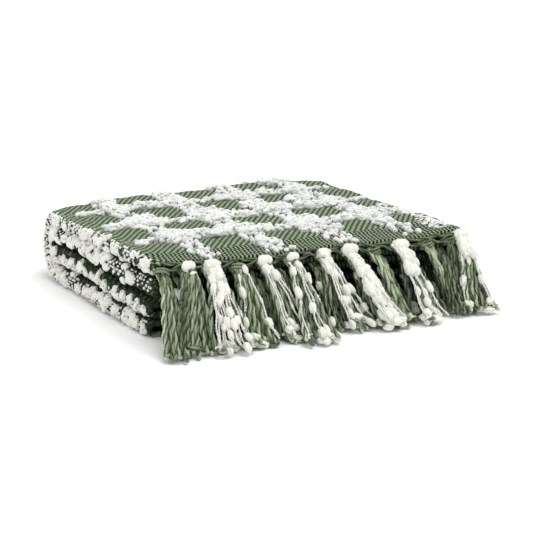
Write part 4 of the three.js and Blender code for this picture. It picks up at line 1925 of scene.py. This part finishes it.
    def wrap(self, hang: Hang, rng: Rng) -> Shape:
        """Winds the knot round the root of a tassel."""
        at = hang.root + self.knot_offset
        way = unit((hang.tip - at) * [1, 0.6, 1])
        side = unit(np.cross(way, [0.0, 1.0, 0.2]))
        other = np.cross(way, side)
        turn = np.linspace(0, math.tau * self.knot_turns, self.knot_steps)
        reach = self.knot_reach + self.knot_wobble * np.sin(turn * 1.7)
        path = (at + np.outer(reach * self.knot_width * np.cos(turn), side)
                + np.outer(reach * np.sin(turn), other)
                + np.outer((turn / turn[-1] - 0.5) * self.knot_length, way))
        radii = np.full((1, len(turn)), self.strand_radius * self.knot_yarn)
        return yarn_shape(path[None], radii, self.strand, rng.uniform(0.0, 0.3, 1))

    def add_threads(self, tassel: Tassel, hang: Hang, threads: Mesher, slubs: Mesher, rng: Rng) -> None:
        """Adds a tassel's white threads with their slubs.

        Args:
            tassel: The tassel.
            hang: Where it hangs.
            threads: Where the threads go.
            slubs: Where the slubs go.
            rng: Random numbers.
        """
        across, ahead, heights = self.tassel_feet(tassel, tassel.threads, rng)
        lifted = Hang(hang.root + self.white_lift, hang.tip + self.white_lift)
        controls = self.fan(lifted, across * 0.9, ahead + 0.002, heights + 0.003, rng)
        paths = self.crimped(along_spline(controls, self.thread_steps), self.thread_crimp, rng)
        share = np.linspace(0, 1, self.thread_steps)
        thin = smooth(share, 0.12, 0.40 if tassel.threads > 4 else 0.2)
        swell = np.sin(math.tau * (share * 2.6 + rng.random((len(paths), 1))))
        radii = mix(self.thick_radius, self.thread_radius, thin) * (1 + 0.9 * np.maximum(swell, 0) ** 8)
        threads.add(yarn_shape(paths, radii, self.thread, rng.random(len(paths))))
        shares = (np.arange(tassel.slubs) + 0.5) / tassel.slubs
        shares = shares[None] + rng.uniform(-0.18, 0.18, (len(paths), tassel.slubs))
        self.add_on_paths(paths, shares, self.slub, slubs, rng, self.slub_share)

    def add_drape(self, tassel: Tassel, hang: Hang, slubs: Mesher, rng: Rng) -> None:
        """Lays chenille over the front of a tassel, down to the tassel's chain share."""
        count = self.drape_paths
        across = np.linspace(-self.drape_reach, self.drape_reach, count)
        lifted = Hang(hang.root + self.drape_lift, hang.tip + self.white_lift)
        controls = self.fan(lifted, across, np.zeros(count), np.full(count, 0.007), rng)
        paths = along_spline(controls, self.thread_steps)
        shares = np.arange(0.04, tassel.chain, self.drape_pitch)[None]
        shares = shares + rng.uniform(-0.05, 0.05, (count, shares.size))
        self.add_on_paths(paths, shares, self.drape, slubs, rng, self.drape_share)

    def add_knob(self, tassel: Tassel, hang: Hang, slubs: Mesher, rng: Rng) -> None:
        """Adds the two puffs of chenille at a tassel's knot."""
        size = np.array([[1.0, 0.86, 0.86], [0.8, 0.75, 0.7]]) * tassel.knob / MM_PER_M
        centre = hang.root + np.array([[0.0, -0.0054, -0.0026], [0.0035, -0.0085, -0.0110]])
        along = unit(np.array([[1.0, -0.1, 0.1], [0.4, -0.3, -1.0]]))
        out = unit(np.array([[0.0, -0.5, 1.0], [-0.2, -1.0, 0.2]]))
        spots = Spots(centre, along, out, size, rng.random(2), rng.uniform(0, 6, 2))
        self.kit.scatter(slubs, spots, PUFF_FORMS, rng)

    def add_cluster(self, tassel: Tassel, hang: Hang, slubs: Mesher, rng: Rng) -> None:
        """Heaps puffs of chenille at a tassel's foot."""
        count, side, forward = tassel.cluster, hang.side, hang.forward
        across = rng.uniform(-0.42, 0.42, count) * tassel.spread / MM_PER_M
        centre = hang.tip + np.outer(across, side) + np.outer(rng.uniform(-0.012, 0.008, count), forward)
        size = self.foot.draw(count, rng)
        centre[:, 2] = size[:, 2] * rng.uniform(0.5, 1.7, count)
        along = unit(np.outer(np.cos(rng.uniform(0, 3, count)), side) + forward)
        out = np.broadcast_to([0.0, 0.0, 1.0], centre.shape)
        spots = Spots(centre, along, out, size, rng.random(count), rng.uniform(0, 6, count))
        self.kit.scatter(slubs, spots, PUFF_FORMS, rng)

    def add_on_paths(self, paths: Array, shares: Array, kind: SlubKind, slubs: Mesher,
                     rng: Rng, kept: float = 1.0) -> None:
        """Threads slubs on paths.

        Args:
            paths: The threads.
            shares: Places along each thread, from 0 to 1.
            kind: Kind of slub.
            slubs: Where they go.
            rng: Random numbers.
            kept: Share of the places that get one.
        """
        tangents, normals, _ = frames_along(paths)
        steps = paths.shape[1]
        number = np.clip(np.round(shares * (steps - 1)).astype(int), 1, steps - 1)
        row = np.broadcast_to(np.arange(len(paths))[:, None], number.shape).ravel()
        number = number.ravel()
        is_kept = rng.random(len(row)) < kept
        row, number = row[is_kept], number[is_kept]
        size = kind.draw(len(row), rng)
        centre = paths[row, number]
        centre[:, 2] = np.maximum(centre[:, 2], size[:, 2] * 0.55)
        spots = Spots(centre, tangents[row, number], normals[row, number], size,
                      rng.random(len(row)), rng.uniform(0, math.tau, len(row)))
        self.kit.scatter(slubs, spots, (SlubForm.OVAL, SlubForm.PUFF), rng)

    def build_hidden_rows(self) -> Object:
        """Builds the tassels of the plies behind.

        Returns:
            The strands of the lower end.
        """
        rng = np.random.default_rng(52)
        upper, lower, slubs = Mesher(), Mesher(), Mesher()
        count = self.hidden_strands
        for row in HIDDEN_ROWS:
            places = np.linspace(-self.hidden_reach, self.hidden_reach, row.tassels)
            for x in places + rng.uniform(-0.006, 0.006, row.tassels):
                root = self.edge_point(x, row.is_upper, row.ply)
                tip = root * [1, 1, 0] + [rng.uniform(-0.004, 0.010), -row.run / MM_PER_M, 0]
                across = np.linspace(-self.hidden_spread, self.hidden_spread, count)
                across = across + rng.normal(0, 0.001, count)
                ahead, heights = rng.uniform(-0.006, 0.004, count), rng.uniform(0.0022, 0.0070, count)
                controls = self.fan(Hang(root, tip), across, ahead, heights, rng)
                paths = self.crimped(along_spline(controls, self.hidden_steps), self.hidden_crimp, rng)
                radii = np.full(paths.shape[:2], self.strand_radius)
                tones = np.clip(rng.normal(0.15, 0.2, count), 0, 1)
                shape = yarn_shape(paths, radii, self.hidden_strand, tones)
                (upper if row.is_upper else lower).add(shape)
                shares = rng.uniform(0.05, 0.9, (2, 1))
                if rng.random() < 0.5:
                    self.add_on_paths(paths[:2], shares, self.slub, slubs, rng)
        self.keep(upper, "upper_inner_strands", self.green)
        self.keep(slubs, "inner_fringe_slubs", self.chenille)
        return self.keep(lower, "lower_fringe_strands", self.green)

    def build_edge(self) -> None:
        """Lays the loose cords along the fringed edge of the top."""
        rng = np.random.default_rng(53)
        x = np.linspace(*self.cord_ends, self.cord_controls)
        middle = np.stack([self.edge_point(value, True, OUTER_PLY) for value in x])
        cords = Mesher()
        for offset, depth, phase in (([0, -0.0020, 0.0018], 0.0026, 0), ([0, -0.0030, -0.0006], 0.0048, 0.9)):
            swag = depth * np.abs(np.sin(math.pi * (x - x[0]) / self.swag_length + phase))
            stray = rng.normal(0, 0.0006, (len(x), 3)) * [0.3, 1, 1]
            controls = middle + offset + stray - np.outer(swag, [0, 0.3, 1])
            path = self.crimped(along_spline(controls[None], self.cord_steps), self.cord_crimp, rng)
            radii = np.full(path.shape[:2], self.strand_radius * self.cord_yarn)
            cords.add(yarn_shape(path, radii, self.strand, np.array([0.04])))
        self.keep(cords, "edge_cords", self.green)


# Studio


@dataclass(frozen=True)
class Studio:
    """Camera, soft light and pale floor."""

    focal: float = 124.36
    azimuth: float = -27.96
    elevation: float = 14.57
    distance: float = 1.965
    slide_right: float = 0.0309
    slide_up: float = 0.0125
    sky_strength: float = 0.94
    sun_strength: float = 1.35
    sun_angle: float = 50.0
    sun_from: Triple = (0.30, -0.25, 1.0)
    floor_radius: float = 12.0

    def axes(self) -> tuple[Vector, Vector, Vector]:
        """Right, up and back of the camera."""
        turn, rise = math.radians(self.azimuth), math.radians(self.elevation)
        back = Vector((math.sin(turn) * math.cos(rise), -math.cos(turn) * math.cos(rise), math.sin(rise)))
        right = Vector((math.cos(turn), math.sin(turn), 0))
        return right, back.cross(right), back

    def build_camera(self) -> None:
        """Sets the camera where the photograph was taken."""
        right, up, back = self.axes()
        camera = bpy.data.cameras.new("camera")
        camera.lens = self.focal
        camera.clip_end = 100
        holder = bpy.data.objects.new("camera", camera)
        place = back * self.distance + right * self.slide_right + up * self.slide_up
        holder.matrix_world = Matrix.Translation(place) @ Matrix((right, up, back)).transposed().to_4x4()
        bpy.context.scene.collection.objects.link(holder)
        bpy.context.scene.camera = holder

    def build_light(self) -> None:
        """Fills the studio with soft light that comes a little from the right."""
        scene = bpy.context.scene
        scene.view_settings.view_transform = "Standard"
        scene.world = bpy.data.worlds.new("studio")
        scene.world.use_nodes = True
        sky = scene.world.node_tree.nodes["Background"]
        sky.inputs["Color"].default_value = (1, 1, 1, 1)
        sky.inputs["Strength"].default_value = self.sky_strength
        sun = bpy.data.lights.new("soft_key", "SUN")
        sun.energy = self.sun_strength
        sun.angle = math.radians(self.sun_angle)
        holder = bpy.data.objects.new("soft_key", sun)
        holder.rotation_euler = Vector(self.sun_from).to_track_quat("Z", "Y").to_euler()
        scene.collection.objects.link(holder)

    def build_floor(self) -> Object:
        """Lays the pale floor."""
        deselect_all()
        bpy.ops.mesh.primitive_circle_add(vertices=48, radius=self.floor_radius, fill_type="NGON")
        floor = bpy.context.object
        floor.name = "studio_floor"
        desk = Desk("pale_floor")
        grain = desk.noise(desk.place(), 3.0)
        colour = desk.blend(grain, (0.96, 0.96, 0.96, 1), (0.97, 0.97, 0.97, 1))
        floor.data.materials.append(desk.finish(colour, 0.9, None, 0.0))
        return floor


def declare(sheet: Object, others: list[Object], fringes: list[Object]) -> None:
    """Attaches each piece to the body, logs its faces, and hides the model's cloth part.

    Args:
        sheet: The folded cloth.
        others: Pieces on the cloth.
        fringes: Pieces of the fringe.
    """
    for piece in [sheet, *others, *fringes]:
        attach(piece, BODY)
        LOG.info("%s: %d faces", piece.name, len(piece.data.polygons))
    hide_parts("throw_cloth")


def main() -> None:
    """Builds the throw and its studio in order."""
    logging.basicConfig(level=logging.INFO, format="%(message)s")
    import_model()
    studio = Studio()
    studio.build_camera()
    stack, check = FoldedStack(), Check()
    sheet = ThrowSheet(stack, check, WovenCheckFinish(check).build()).build()
    kit = SlubKit()
    chenille = ChenilleFinish("chenille", linear(240, 241, 238), linear(216, 217, 213), 0.66).build()
    # The left folds get a lighter, warmer chenille with fewer painted-shade specks: painted light, as that
    # side gets less light.
    shaded = ChenilleFinish("fold_chenille", linear(244, 244, 238), linear(222, 222, 213), 0.55).build()
    creamy = ChenilleFinish("creamy_chenille", linear(240, 240, 233), linear(216, 216, 206)).build()
    raised = RaisedChenille(stack, check, kit, chenille, shaded)
    raised.build()
    # The third colour of each yarn is painted shade in the groove between its plies.
    green = TwistedYarnFinish("green_yarn", linear(190, 202, 171), linear(66, 80, 52),
                              linear(20, 29, 12)).build()
    white = TwistedYarnFinish("white_thread", linear(238, 238, 234), linear(230, 230, 224),
                              linear(200, 200, 190)).build()
    fringe = Fringe(stack, kit, green, white, creamy)
    upper = fringe.build_top_fringe()
    lower = fringe.build_hidden_rows()
    fringe.build_edge()
    declare(sheet, raised.pieces, fringe.pieces)
    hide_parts("upper_fringe")
    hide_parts("lower_fringe")
    studio.build_light()
    studio.build_floor()


if __name__ == "__main__":
    main()
